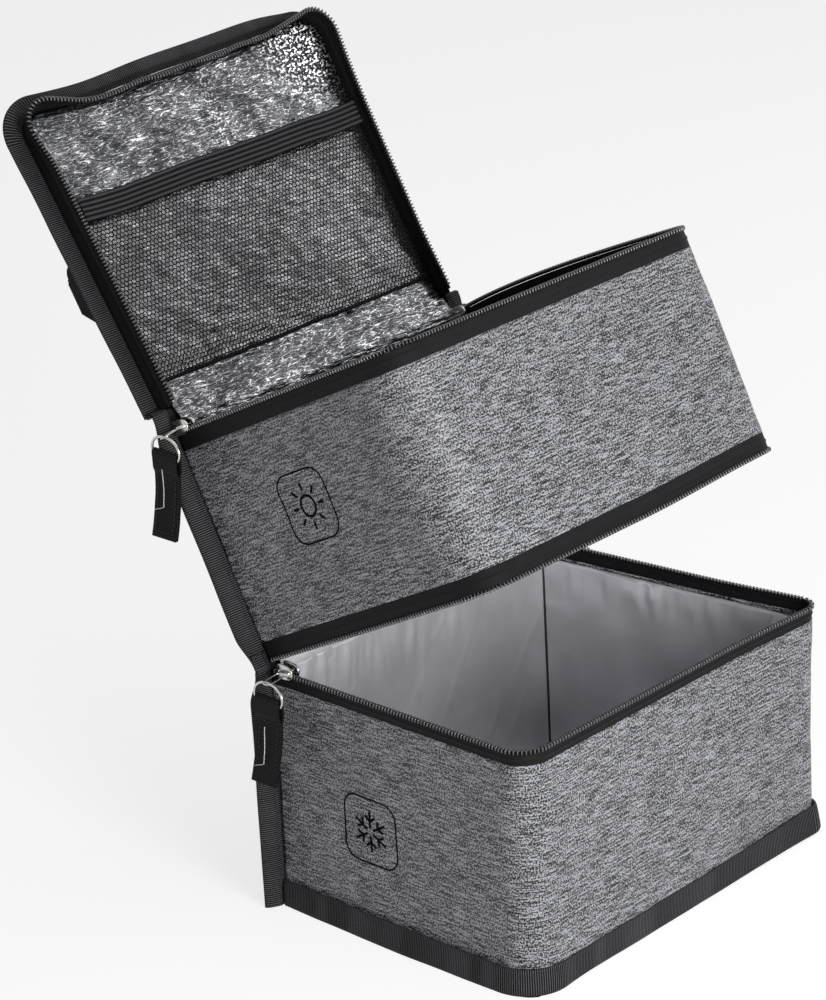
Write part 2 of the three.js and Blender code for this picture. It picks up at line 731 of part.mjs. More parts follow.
// Flared end of the handle, standing in the lid's side seam
function handleTab(farSide) {
  const base = lidHeight + seat;
  const outline = [
    [-handleCentre - tabBaseWidth / 2, base], [-handleCentre + tabBaseWidth / 2, base],
    [-handleCentre + tabTopWidth / 2, base + tabHeight], [-handleCentre - tabTopWidth / 2, base + tabHeight],
  ];
  const outer = halfWidth - tabEdge;
  return farSide
    ? extrudeAlongX(outline, outer - tabThick, outer)
    : extrudeAlongX(outline, -outer, -outer + tabThick);
}

// Strap that arches from tab to tab. Its ends are round about the line that it swings on,
// and its middle is folded double into a grip.
function carryHandle() {
  const reach = halfWidth - tabEdge - tabThick - seat - handleThick / 2;
  const pivotZ = lidHeight + handlePivotHeight;
  const rise = handleRise - handlePivotHeight;
  const stations = [];
  for (let i = 0; i <= handleSteps; i += 1) {
    const angle = Math.PI * (1 - i / handleSteps);
    const cosine = Math.cos(angle);
    const sine = Math.sin(angle);
    const power = 2 / handleArchPower;
    stations.push({
      x: reach * Math.sign(cosine) * Math.abs(cosine) ** power,
      z: pivotZ + rise * sine ** power,
    });
  }
  const grip = (x) => THREE.MathUtils.smoothstep(
    handleGripLength / 2 - Math.abs(x), -handleGripTaperOut, handleGripTaperIn);
  const positions = [];
  stations.forEach((station, i) => {
    const before = stations[Math.max(i - 1, 0)];
    const after = stations[Math.min(i + 1, handleSteps)];
    const edge = i === 0 || i === handleSteps;
    const along = edge ? new THREE.Vector2(0, i === 0 ? 1 : -1)
      : new THREE.Vector2(after.x - before.x, after.z - before.z).normalize();
    const blend = grip(station.x);
    const half = (handleEndWidth + (handleGripWidth - handleEndWidth) * blend) / 2;
    const thick = (handleThick + (handleGripThick - handleThick) * blend) / 2;
    const edgeThick = thick * (1 - (1 - handleGripEdge) * blend);
    for (const [across, out] of [
      [-half, -edgeThick], [-half * handleEdge, -thick], [half * handleEdge, -thick], [half, -edgeThick],
      [half, edgeThick], [half * handleEdge, thick], [-half * handleEdge, thick], [-half, edgeThick],
    ]) {
      positions.push(station.x - along.y * out, -handleCentre + across, station.z + along.x * out);
    }
  });
  const index = [];
  const size = 8;
  for (let i = 0; i < handleSteps; i += 1) {
    for (let j = 0; j < size; j += 1) {
      const a = i * size + j;
      const b = i * size + ((j + 1) % size);
      index.push(a, b, a + size, b, b + size, a + size);
    }
  }
  for (let j = 1; j < size - 1; j += 1) {
    index.push(0, j + 1, j);
    index.push(handleSteps * size, handleSteps * size + j, handleSteps * size + j + 1);
  }
  const strap = new THREE.BufferGeometry();
  strap.setAttribute('position', new THREE.Float32BufferAttribute(positions, 3));
  strap.setIndex(index);
  const ends = [-1, 1].map((side) => new THREE.CylinderGeometry(
    handleEndWidth / 2, handleEndWidth / 2, handleThick, 20)
    .rotateZ(Math.PI / 2).translate(side * reach, -handleCentre, pivotZ));
  return join(strap, ...ends);
}

const bag = new THREE.Group();
const lower = lowerCompartment();
lower.position.y = bagDepth / 2;
bag.add(lower);
const middle = middleCompartment();
middle.position.set(0, bagDepth / 2, lowerHeight);
middle.rotation.x = -THREE.MathUtils.degToRad(middleOpenDeg);
bag.add(middle);
const lidFold = new THREE.Group();
lidFold.position.z = middleHeight + lidFoldHeight;
lidFold.rotation.x = -THREE.MathUtils.degToRad(lidOpenDeg);
middle.add(lidFold);
const top = lid();
top.position.z = -lidFoldHeight;
lidFold.add(top);

export default bag;
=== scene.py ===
import math
import bpy
import numpy as np
from mathutils import Matrix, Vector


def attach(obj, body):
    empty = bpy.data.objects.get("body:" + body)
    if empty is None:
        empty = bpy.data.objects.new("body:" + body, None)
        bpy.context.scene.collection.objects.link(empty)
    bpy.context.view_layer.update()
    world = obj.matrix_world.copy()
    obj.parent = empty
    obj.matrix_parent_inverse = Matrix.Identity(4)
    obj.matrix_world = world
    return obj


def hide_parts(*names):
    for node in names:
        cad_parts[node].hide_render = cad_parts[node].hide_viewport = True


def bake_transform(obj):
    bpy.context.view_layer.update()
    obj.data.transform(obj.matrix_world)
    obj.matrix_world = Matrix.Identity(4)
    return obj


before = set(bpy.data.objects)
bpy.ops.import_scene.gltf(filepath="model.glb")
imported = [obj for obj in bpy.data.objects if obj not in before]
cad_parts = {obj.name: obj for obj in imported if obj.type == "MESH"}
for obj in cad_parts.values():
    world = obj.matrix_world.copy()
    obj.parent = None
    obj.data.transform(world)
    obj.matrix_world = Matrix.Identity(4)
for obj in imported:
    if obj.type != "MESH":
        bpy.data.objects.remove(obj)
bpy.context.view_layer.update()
print("frame loaded:", len(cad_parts), "nodes")

# sizes in millimetres, as in the model
bag = dict(backWidth=250.0, width=261.0, frontWidth=272.0, depth=205.0, radius=18.0,
           lowerHeight=155.0, middleHeight=149.0, lidHeight=18.5, lidFold=12.0)
hinges = dict(middleOpen=26.0, lidOpen=94.0)
layers = dict(cloth=1.2, foam=4.5, film=0.8, seat=0.3)

sideLength = bag["depth"] - bag["radius"]
arcLength = math.pi * bag["radius"] / 2
frontLength = bag["width"] - 2 * bag["radius"]
pathLength = 2 * (sideLength + arcLength) + frontLength
nearCorner = sideLength + arcLength / 2
farCorner = pathLength - nearCorner  # middle of the far front corner
foamOuter = -(layers["cloth"] + layers["seat"])
foamInner = foamOuter - layers["foam"]
filmOuter = foamInner - layers["seat"]
filmInner = filmOuter - layers["film"]
sides = (("Near", -1), ("Far", 1))


# arithmetic
def smoothStep(x, low, high):  # 3t^2 - 2t^3 between low and high
    t = np.clip((x - low) / (high - low), 0, 1)
    return t * t * (3 - 2 * t)


def span(x, rise, fall):  # up from 0 to 1 over the first pair of values, back to 0 over the second
    return smoothStep(x, *rise) * (1 - smoothStep(x, *fall))


def hill(x, top, width):  # 1 at its top, fading to both sides
    return np.exp(-((x - top) / width) ** 2)


def valueNoise(x, y, seed):
    # random heights from -1 to 1 on a square lattice, joined by 6t^5 - 15t^4 + 10t^3
    table = np.random.default_rng(seed).uniform(-1, 1, (128, 128))
    x, y = np.broadcast_arrays(np.asarray(x, float), np.asarray(y, float))
    column, row = np.floor(x).astype(int), np.floor(y).astype(int)
    across, up = x - column, y - row
    across = across ** 3 * (across * (across * 6 - 15) + 10)
    up = up ** 3 * (up * (up * 6 - 15) + 10)
    left, right, low, high = column % 128, (column + 1) % 128, row % 128, (row + 1) % 128
    a, b, c, d = table[left, low], table[right, low], table[left, high], table[right, high]
    return (a * (1 - across) + b * across) * (1 - up) + (c * (1 - across) + d * across) * up


def wavy(x, length, seed):  # the same along a line; length is the distance between two heights
    return valueNoise(x / length, 0 * x, seed)


def unit(vectors):
    return vectors / np.linalg.norm(vectors, axis=-1, keepdims=True)


def runAlong(points):
    # distance from the first point of a line to each of its points
    return np.concatenate([[0], np.cumsum(np.linalg.norm(np.diff(points, axis=0), axis=1))])


def pointsAt(at, run, points):
    return np.stack([np.interp(at, run, points[:, k]) for k in range(points.shape[1])], -1)


def squareTo(up, along):
    # up with its share along a line taken out, one unit long
    return unit(up - np.einsum("ij,ij->i", up, along)[:, None] * along)


def turned(points, degrees, y, z):  # local millimetres turned about X, then moved by (0, y, z)
    c, s = math.cos(math.radians(degrees)), math.sin(math.radians(degrees))
    out = np.empty_like(points)
    out[..., 0] = points[..., 0]
    out[..., 1] = points[..., 1] * c - points[..., 2] * s + y
    out[..., 2] = points[..., 1] * s + points[..., 2] * c + z
    return out


def widthAt(y):  # the sides stand further apart at the front than at the back
    return bag["backWidth"] - (bag["frontWidth"] - bag["backWidth"]) * y / bag["depth"]


# how far the limp parts leave their flat shape, in millimetres
limp = dict(lidFar=5.5, lidFarStart=2.5, lidNear=3.5, lidFront=11.5, lidFarCorner=5.0, lidNearCorner=3.0,
            rimBow=7.2, bowPeak=0.385, foot=dict(lower=(6.0, 4.0, 1.5), middle=(1.0, 1.0, 3.0)))


def toWorld(part, points, stiff=False):
    # a part's own millimetres (x, y from its back, z from its floor or zip) to metres in the frame;
    # sewn pieces are drawn one width from back to front and spread here, stiff ones keep their shape
    points = np.array(points, float)
    if not stiff:
        points[..., 0] *= widthAt(points[..., 1]) / bag["width"]
        if part == "lid":  # the limp lid draws in a little towards its front and far corner
            forward = -points[..., 1] / bag["depth"]
            across = points[..., 0] / bag["width"] * 2
            inwards = limp["lidFar"] * forward + limp["lidFarStart"] * smoothStep(forward, 0, 0.25)
            points[..., 0] -= inwards * np.clip(across, 0, 1)
            points[..., 0] -= limp["lidNear"] * forward * np.clip(across, -1, 0)
            short = limp["lidFront"] - limp["lidFarCorner"] * np.clip(across, 0, 1) ** 2
            points[..., 1] += forward ** 2 * (short + limp["lidNearCorner"] * hill(across, -0.6, 0.35))
        if part == "middle":  # the far rim bows up, most of all a third of the way from the back
            forward = np.clip(-points[..., 1] / bag["depth"], 0, 1)
            bow = smoothStep(points[..., 0], 60, 128) * np.sqrt(forward) * (1 - forward) / limp["bowPeak"]
            up = np.clip(points[..., 2] / bag["middleHeight"], 0, 1)
            points[..., 2] += limp["rimBow"] * bow * up ** 3
        if part in ("lower", "middle"):  # the far front corner spreads a little at its foot
            foot = (smoothStep(points[..., 0], 0, 130) * smoothStep(-points[..., 1], 100, 200)
                    * (1 - smoothStep(points[..., 2], 0, 95)))
            points = points + foot[..., None] * np.array(limp["foot"][part])
    if part == "lid":
        points[..., 2] -= bag["lidFold"]
        points = turned(points, -hinges["lidOpen"], 0, bag["middleHeight"] + bag["lidFold"])
    if part in ("lid", "middle"):
        points = turned(points, -hinges["middleOpen"], 0, bag["lowerHeight"])
    return (points + [0, bag["depth"] / 2, 0]) / 1000


def wallPath(s, radius):
    # near side, round corner, front, round corner, far side: x, y and the outward direction at arc length s
    s, radius = np.broadcast_arrays(np.asarray(s, float), np.asarray(radius, float))
    far = s > pathLength / 2
    t = np.where(far, pathLength - s, s)
    half, straight = bag["width"] / 2, bag["depth"] - radius
    turn = np.clip((t - straight) / (arcLength + 2 * (radius - bag["radius"])), 0, 1) * math.pi / 2
    along = np.minimum(t, straight)
    front = np.maximum(t - straight - arcLength - 2 * (radius - bag["radius"]), 0)
    x = -half + radius * (1 - np.cos(turn)) + front
    y = -along - radius * np.sin(turn)
    nx, ny = -np.cos(turn), -np.sin(turn)
    return np.where(far, -x, x), y, np.where(far, -nx, nx), ny


def softShape(part, s, z):
    # corner radius and outward push of the limp walls: rounder and fuller half-way up, pinched by zips and
    # base; the far front corner is sharper and stands out
    s, z = np.broadcast_arrays(np.asarray(s, float), np.asarray(z, float))
    height = {"lower": bag["lowerHeight"], "middle": bag["middleHeight"], "lid": 60.0}[part]
    up = np.sin(math.pi * np.clip(z / height, 0, 1))
    near = 1 - smoothStep(s, pathLength * 0.45, pathLength * 0.55)
    crisp = smoothStep(s, pathLength * 0.54, pathLength * 0.6)
    proud = hill(s, farCorner, 42) * smoothStep(z, 0, 60)
    if part == "lower":
        foot = 1 - smoothStep(z, 0, 45)
        radius = bag["radius"] + 3 * up + 8 * foot * (1 - crisp) - 8 * crisp
        push = up * (0.7 * valueNoise(s / 70, z / 60, 3) - 0.6) + 3.2 * proud
    elif part == "middle":
        radius = bag["radius"] + 4 + near * (4 + 14 * up) - 6 * crisp
        push = up * (0.9 * valueNoise(s / 60, z / 55, 5) - 0.4) + 1.2 * proud
    else:  # the lid's limp front tape leans in
        front = span(s, (sideLength + 15, sideLength + 75), (farCorner - 60, farCorner))
        radius = bag["radius"] + 0 * z
        push = -front * (4.5 + 1.2 * valueNoise(s / 22, 0 * z, 7)) * np.clip(1 - z / 15, 0, 1)
        corners = 3.0 * hill(s, farCorner, 34) + 7.0 * hill(s, nearCorner, 26)
        push = push + corners * np.clip(1 - z / 18, 0, 1)
    return radius, push


def wallPoint(part, s, z, offset):
    # the point at height z, s along the wall and offset outside its face, in the part's own millimetres
    radius, push = softShape(part, s, z)
    x, y, nx, ny = wallPath(s, radius)
    out = offset + push
    z = np.broadcast_to(z, x.shape)
    return np.stack([x + nx * out, y + ny * out, z], -1)


def wallWorld(part, s, z, offset):
    return toWorld(part, wallPoint(part, s, z, offset))


# meshes
def buildMesh(name, points, faces, uv=None, smooth=True):
    # points in metres, faces as arrays of quads or triangles; turned inside out if its volume is negative
    points = np.asarray(points, float).reshape(-1, 3)
    groups = [np.asarray(f, int) for f in faces if len(f)]
    volume, central = 0.0, points - points.mean(0)
    for f in groups:
        for k in range(1, f.shape[1] - 1):
            a, b, c = central[f[:, 0]], central[f[:, k]], central[f[:, k + 1]]
            volume += np.einsum("ij,ij->", a, np.cross(b, c))
    if volume < 0:
        groups = [f[:, ::-1] for f in groups]
    corners = np.concatenate([f.ravel() for f in groups])
    totals = np.concatenate([np.full(len(f), f.shape[1]) for f in groups])
    mesh = bpy.data.meshes.new(name)
    mesh.vertices.add(len(points))
    mesh.vertices.foreach_set("co", points.astype(np.float32).ravel())
    mesh.loops.add(len(corners))
    mesh.loops.foreach_set("vertex_index", corners.astype(np.int32))
    mesh.polygons.add(len(totals))
    mesh.polygons.foreach_set("loop_start", (np.cumsum(totals) - totals).astype(np.int32))
    mesh.polygons.foreach_set("loop_total", totals.astype(np.int32))
    if uv is not None:
        spread = np.asarray(uv, float).reshape(-1, 2)[corners].astype(np.float32)
        mesh.uv_layers.new(name="UVMap").data.foreach_set("uv", spread.ravel())
    mesh.update(calc_edges=True)
    mesh.polygons.foreach_set("use_smooth", np.full(len(totals), smooth))
    piece = bpy.data.objects.new(name, mesh)
    bpy.context.scene.collection.objects.link(piece)
    return piece


def markPoints(piece, key, share):
    # a share from 0 to 1 at each point of a grid, for its material
    layer = piece.data.attributes.new(key, "FLOAT", "POINT")
    values = np.zeros(len(piece.data.vertices), np.float32)
    values[:share.size] = share.ravel()
    layer.data.foreach_set("value", values)


def gridFaces(rows, columns, start=0, closeRows=False, closeColumns=False):
    i = np.arange(rows if closeRows else rows - 1)[:, None]
    j = np.arange(columns if closeColumns else columns - 1)[None, :]
    a, b = i * columns + j, i * columns + (j + 1) % columns
    c, d = (i + 1) % rows * columns + (j + 1) % columns, (i + 1) % rows * columns + j
    return np.stack([a, b, c, d], -1).reshape(-1, 4) + start


def sheetShell(name, outer, inner, uv):
    # two grids of the same size, one on each face of a sheet, joined round their rim
    rows, columns = outer.shape[:2]
    size = rows * columns
    rim = np.concatenate([
        np.arange(columns), np.arange(1, rows) * columns + columns - 1,
        (rows - 1) * columns + np.arange(columns - 2, -1, -1), np.arange(rows - 2, 0, -1) * columns])
    after = np.roll(rim, -1)
    faces = [gridFaces(rows, columns), gridFaces(rows, columns, size)[:, ::-1],
             np.stack([after, rim, rim + size, after + size], -1)]
    points = np.concatenate([outer.reshape(-1, 3), inner.reshape(-1, 3)])
    return buildMesh(name, points, faces, np.concatenate([uv.reshape(-1, 2)] * 2))


def sweptBody(name, sections, closed=False, uv=None):
    # a closed outline carried along a path: sections[station, corner]; ends are joined or drawn to a point
    stations, corners = sections.shape[:2]
    faces = [gridFaces(stations, corners, 0, closed, True)]
    points = sections.reshape(-1, 3)
    if not closed:
        middle = np.stack([sections[0].mean(0), sections[-1].mean(0)])
        points = np.concatenate([points, middle])
        ring = np.arange(corners)
        after = np.roll(ring, -1)
        first, last = stations * corners, stations * corners + 1
        faces.append(np.stack([np.full(corners, first), after, ring], -1))
        tail = (stations - 1) * corners
        faces.append(np.stack([np.full(corners, last), tail + ring, tail + after], -1))
        if uv is not None:
            uv = np.concatenate([uv.reshape(-1, 2), uv[0].mean(0)[None], uv[-1].mean(0)[None]])
    return buildMesh(name, points, faces, uv)


def repeatBody(name, shape, faces, origins, axes, uv=None):
    # one small closed shape set down at each origin, its x, y and z along that place's three axes
    placed = origins[:, None, :] + np.einsum("vk,nkc->nvc", shape, axes)
    count = len(shape)
    starts = np.arange(len(origins))[:, None, None] * count
    many = [(np.asarray(f)[None] + starts).reshape(-1, np.shape(f)[1]) for f in faces]
    return buildMesh(name, placed, many, None if uv is None else np.repeat(uv[:, None, :], count, 1))


def pathAxes(points, up):
    # along, up and across at each point of a line, up made square to the line
    along = unit(np.gradient(points, axis=0))
    up = squareTo(np.broadcast_to(np.asarray(up, float), points.shape), along)
    return along, up, np.cross(along, up)


def resample(points, step):
    # the same line with points an equal step apart
    run = runAlong(points)
    at = np.linspace(0, run[-1], max(int(round(run[-1] / step)), 1) + 1)
    return pointsAt(at, run, points), at


def ovalSection(wide, high, corners, power=2.0):
    # superellipse |x/w|^p + |y/h|^p = 1
    angle = np.linspace(0, 2 * math.pi, corners, endpoint=False) + math.pi / corners
    c, s = np.cos(angle), np.sin(angle)
    return np.stack([np.sign(c) * np.abs(c) ** (2 / power) * wide / 2,
                     np.sign(s) * np.abs(s) ** (2 / power) * high / 2], -1)


def carried(points, up, outline, closed=False):
    # each station of the line gets the outline, its first value along across and its second along up
    along, up, across = pathAxes(points, up)
    if closed:
        along = unit(np.roll(points, -1, 0) - np.roll(points, 1, 0))
        up = squareTo(up, along)
        across = np.cross(along, up)
    outline = np.asarray(outline)
    if outline.ndim == 2:
        outline = np.broadcast_to(outline, (len(points),) + outline.shape)
    return points[:, None] + outline[..., :1] * across[:, None] + outline[..., 1:] * up[:, None]


def finish(piece, material, body, node=None):
    piece.data.materials.append(material)
    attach(piece, body)
    if node:
        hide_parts(node)
    return piece


def sheetPiece(name, part, grids, uv, material, node, stiff=False):
    # a sheet from the grids of its two faces, in its part's own millimetres
    outer, inner = (toWorld(part, grid, stiff) for grid in grids)
    return finish(sheetShell(name, outer, inner, uv), material, part, node)


def sweptPiece(name, part, points, uv, material, node, body=None):
    # a swept body in its part's own millimetres, stiff if it rides on a body of its own
    solid = sweptBody(name, toWorld(part, points, body is not None), False, uv)
    finish(solid, material, body or part, node)


def cordPiece(name, path, up, section, material, body):
    # a cord along a path in the frame, its section in millimetres
    finish(sweptBody(name, carried(path, up, section / 1000)), material, body)


def inMetres(across, along):  # UV values from millimetres
    return np.stack(np.broadcast_arrays(across, along), -1) / 1000


# camera, floor and light
camera = dict(
    place=(-1.6750, -1.4252, 1.0797), right=(0.65698, -0.75226, -0.04983),
    down=(-0.29838, -0.19875, -0.93353), ahead=(0.69235, 0.62817, -0.35503), focal=4.0166)


def setCamera():
    lens = bpy.data.cameras.new("camera")
    lens.sensor_fit = "VERTICAL"
    lens.sensor_height = 24
    lens.lens = camera["focal"] * lens.sensor_height  # focal length over frame height
    eye = bpy.data.objects.new("camera", lens)
    axes = [camera["right"], [-v for v in camera["down"]], [-v for v in camera["ahead"]]]
    turn = Matrix([[axes[c][r] for c in range(3)] for r in range(3)]).to_4x4()
    turn.translation = camera["place"]
    eye.matrix_world = turn
    bpy.context.scene.collection.objects.link(eye)
    bpy.context.scene.camera = eye


lamps = dict(
    key=dict(towards=(-0.36, -0.88, 0.22), away=1.3, size=0.6, watts=12.3),
    side=dict(towards=(0.95, -0.30, 0.55), away=2.2, size=1.2, watts=9),
    top=dict(towards=(0.1, -0.1, 1.0), away=2.0, size=1.2, watts=4.5),
    sky=0.2)


def setLamps():
    target = np.array([0, 0.05, 0.2])
    for name in ("key", "side", "top"):
        lamp = lamps[name]
        light = bpy.data.lights.new(name, "AREA")
        light.shape, light.size, light.energy = "DISK", lamp["size"], lamp["watts"]
        towards = unit(np.array(lamp["towards"]))
        holder = bpy.data.objects.new(name, light)
        place = Matrix.Translation(target + towards * lamp["away"])
        holder.matrix_world = place @ Vector(towards).to_track_quat("Z", "Y").to_matrix().to_4x4()
        bpy.context.scene.collection.objects.link(holder)
    world = bpy.data.worlds.new("sky")
    bpy.context.scene.world = world
    world.use_nodes = True
    tree = world.node_tree
    tree.nodes.clear()
    grey = addNode(tree, "ShaderNodeBackground", Strength=lamps["sky"])
    white = addNode(tree, "ShaderNodeBackground", Strength=1.0)
    both = addNode(tree, "ShaderNodeMixShader", {},
                   {0: (seenDirectly(tree), 0), 1: (grey, 0), 2: (white, 0)})
    addNode(tree, "ShaderNodeOutputWorld", {}, {"Surface": (both, 0)})


# materials
def linear(code):  # sRGB hex to linear RGBA
    parts = [int(code[i:i + 2], 16) / 255 for i in (1, 3, 5)]
    return tuple(v / 12.92 if v <= 0.04045 else ((v + 0.055) / 1.055) ** 2.4 for v in parts) + (1.0,)


def addNode(tree, kind, settings=None, links=None, **values):
    # a node with its own settings, its input links (node, output) and its input values
    node = tree.nodes.new(kind)
    for key, value in (settings or {}).items():
        setattr(node, key, value)
    for key, value in values.items():
        node.inputs[key.replace("_", " ")].default_value = value
    for key, (source, output) in (links or {}).items():
        tree.links.new(source.outputs[output], node.inputs[key])
    return node


def newMaterial(name):
    material = bpy.data.materials.new(name)
    material.use_nodes = True
    tree = material.node_tree
    tree.nodes.clear()
    return material, tree


def ramp(tree, source, stops):
    # a colour ramp whose stops are (place, hex colour)
    node = addNode(tree, "ShaderNodeValToRGB", {}, {0: source})
    band = node.color_ramp
    while len(band.elements) < len(stops):
        band.elements.new(0.5)
    for element, (place, code) in zip(band.elements, stops):
        element.position, element.color = place, linear(code)
    return node


def mapped(tree, space, scale, kind="ShaderNodeTexNoise", settings=None, **values):
    # a texture on coordinates scaled so that its sizes are real ones
    place = addNode(tree, "ShaderNodeTexCoord")
    scaled = addNode(tree, "ShaderNodeMapping", {}, {"Vector": (place, space)}, Scale=scale)
    return addNode(tree, kind, settings, {"Vector": (scaled, 0)}, **values)


def mixed(tree, first, second, share):
    return addNode(tree, "ShaderNodeMix", {"data_type": "FLOAT"}, {2: first, 3: second}, Factor=share)


def mapRange(tree, source, low, high, toLow, toHigh):
    node = addNode(tree, "ShaderNodeMapRange", {}, {"Value": source})
    for key, value in (("From Min", low), ("From Max", high), ("To Min", toLow), ("To Max", toHigh)):
        node.inputs[key].default_value = value
    return node


def closeMaterial(tree, colour, height, strength, distance, **surface):
    # colour and height to the surface; distance is the bump's depth in metres
    raised = addNode(tree, "ShaderNodeBump", {}, {"Height": height}, Strength=strength, Distance=distance)
    shader = addNode(tree, "ShaderNodeBsdfPrincipled", {},
                     {"Base Color": (colour, 0), "Normal": (raised, 0)}, **surface)
    addNode(tree, "ShaderNodeOutputMaterial", {}, {"Surface": (shader, 0)})


def woven(name, dark, light, thread, slub, rough, bump, contrast, gloss):
    # plain weave of uneven yarn: long streaks along the weft, fine dark and light grains, and soft clouds;
    # thread and slub are real millimetres: yarn width and the length over which a yarn keeps its shade
    material, tree = newMaterial(name)
    scales = (1000 / slub, 1000 / thread, 1.0), (1000 / thread, 800 / thread, 1.0), (40.0, 60.0, 1.0)
    weft, grains, clouds = [mapped(tree, "UV", scale, Scale=1.0, Detail=2.0, Roughness=0.7)
                            for scale in scales]
    yarn = mixed(tree, (weft, 0), (grains, 0), 0.62)
    shade = mixed(tree, (yarn, 0), (clouds, 0), 0.06)
    colour = ramp(tree, (shade, 0), [(contrast[0], dark), (contrast[1], light)])
    closeMaterial(tree, colour, (yarn, 0), bump, thread / 2500, Roughness=rough, Specular_IOR_Level=gloss)
    return material


def ribbed(name, dark, light, pitch, bump, direction, contrast):
    # tape woven with cords across it: a sine wave along the tape, one cord per pitch, broken by yarn noise
    material, tree = newMaterial(name)
    cords = mapped(tree, "UV", [1000 / (2 * math.pi)] * 3, "ShaderNodeTexWave",
                   {"bands_direction": "XYZ"[direction]},
                   Scale=math.pi * 2 * math.pi / 10 / pitch, Distortion=0.4, Detail=1.0)
    fuzz = mapped(tree, "UV", (1800.0, 1800.0, 1.0), Scale=1.0, Detail=2.0)
    height = mixed(tree, (cords, "Fac"), (fuzz, 0), 0.45)
    # painted highlights and shade: the colour follows the cord height, crests lighter and grooves darker,
    # mixed with uneven yarn tone
    colour = ramp(tree, (height, 0), [(contrast[0], dark), (contrast[1], light)])
    closeMaterial(tree, colour, (height, 0), bump, pitch / 4000, Roughness=0.6, Specular_IOR_Level=0.12)
    return material


def film(name, dark, light, metal, rough, grain, bump):
    # plastic film: cloudy tint, faint creases from ridged noise; grain is a crease's width in millimetres
    material, tree = newMaterial(name)
    scale = (1000 / grain,) * 3
    clouds = mapped(tree, "Object", scale, Scale=0.16, Detail=3.0)
    creases = mapped(tree, "Object", scale, settings={"noise_type": "RIDGED_MULTIFRACTAL"},
                     Scale=0.5, Detail=2.0, Distortion=0.3)
    colour = ramp(tree, (clouds, 0), [(0.35, dark), (0.65, light)])
    closeMaterial(tree, colour, (creases, 0), bump, grain / 2600, Roughness=rough, Metallic=metal)
    return material


def paintedCrinkleLines(tree, along, across):
    # thin lines where a noise drawn out along the width crosses its middle value, sizes in millimetres; the
    # colour paints them as bright crest lines, painted highlights
    noise = mapped(tree, "UV", (1000 / along, 1000 / across, 1.0), Scale=1.0, Detail=1.0, Distortion=0.5)
    less = addNode(tree, "ShaderNodeMath", {"operation": "SUBTRACT"}, {0: (noise, 0)})
    less.inputs[1].default_value = 0.5
    apart = addNode(tree, "ShaderNodeMath", {"operation": "ABSOLUTE"}, {0: (less, 0)})
    return noise, mapRange(tree, (apart, 0), 0.0, 0.035, 1.0, 0.0)


def wrinkledMirror(name, dark, middle, light):
    # aluminised film: a dull mirror full of fine crinkles, their bright crest lines painted into its colour
    # as painted highlights;
    # where the glint mark is set they break up into short bright specks, painted glints
    material, tree = newMaterial(name)
    noise, long = paintedCrinkleLines(tree, 10.0, 2.0)
    short = paintedCrinkleLines(tree, 4.2, 1.3)[1]
    clouds = mapped(tree, "UV", (1.0, 1.0, 1.0), Scale=38.0, Detail=2.0)
    specks = mapped(tree, "UV", (420.0, 520.0, 1.0), Scale=1.0, Detail=1.0)
    bright = mapRange(tree, (specks, 0), 0.5, 0.6, 0.0, 1.0)
    # painted highlights: bright crest lines mixed over cloudy tone, ramped from near black to near white
    lit = mixed(tree, (clouds, 0), (mixed(tree, (long, 0), (short, 0), 0.42), 0), 0.55)
    # painted glints: where this mark is set, short bright specks replace the crest lines in the colour
    paintedGlint = addNode(tree, "ShaderNodeAttribute", {"attribute_name": "paintedGlint"})
    shade = addNode(tree, "ShaderNodeMix", {"data_type": "FLOAT"},
                    {0: (paintedGlint, "Fac"), 2: (lit, 0), 3: (bright, 0)})
    # painted highlights and shade evened towards middle grey where the net lies over the foil
    paintedLightEvened = addNode(tree, "ShaderNodeAttribute", {"attribute_name": "paintedLightEvened"})
    flat = addNode(tree, "ShaderNodeMix", {"data_type": "FLOAT"}, {0: (paintedLightEvened, "Fac"), 2: (shade, 0)})
    flat.inputs[3].default_value = 0.5
    colour = ramp(tree, (flat, 0), [(0.1, dark), (0.3, middle), (0.72, light)])
    closeMaterial(tree, colour, (noise, 0), 0.6, 0.0009, Roughness=0.24, Metallic=0.85)
    return material


def solidPlastic(name, dark, light, rough, grain, bump, metal=0.0, gloss=0.5):
    # moulded, drawn or plated parts: slight shade changes and a fine surface grain, grain in millimetres
    material, tree = newMaterial(name)
    noise = mapped(tree, "Object", (1000 / grain,) * 3, Scale=1.0, Detail=3.0)
    colour = ramp(tree, (noise, 0), [(0.35, dark), (0.65, light)])
    closeMaterial(tree, colour, (noise, 0), bump, grain / 5000, Roughness=rough, Metallic=metal,
                  Specular_IOR_Level=gloss)
    return material


def seenDirectly(tree):  # 1 for what the camera sees itself or in a reflection
    ray = addNode(tree, "ShaderNodeLightPath")
    return addNode(tree, "ShaderNodeMath", {"operation": "MAXIMUM"},
                   {0: (ray, "Is Camera Ray"), 1: (ray, "Is Glossy Ray")})


def floorMaterial():
    # pale studio paper: nearly white to the camera and in reflections, with the soft shadow kept
    material, tree = newMaterial("studio paper")
    paper = addNode(tree, "ShaderNodeBsdfDiffuse", Color=linear("#ececec"))
    glow = addNode(tree, "ShaderNodeEmission", Strength=1.47)
    share = addNode(tree, "ShaderNodeMath", {"operation": "MULTIPLY"}, {0: (seenDirectly(tree), 0)})
    share.inputs[1].default_value = 0.52
    both = addNode(tree, "ShaderNodeMixShader", {}, {0: (share, 0), 1: (paper, 0), 2: (glow, 0)})
    addNode(tree, "ShaderNodeOutputMaterial", {}, {"Surface": (both, 0)})
    return material


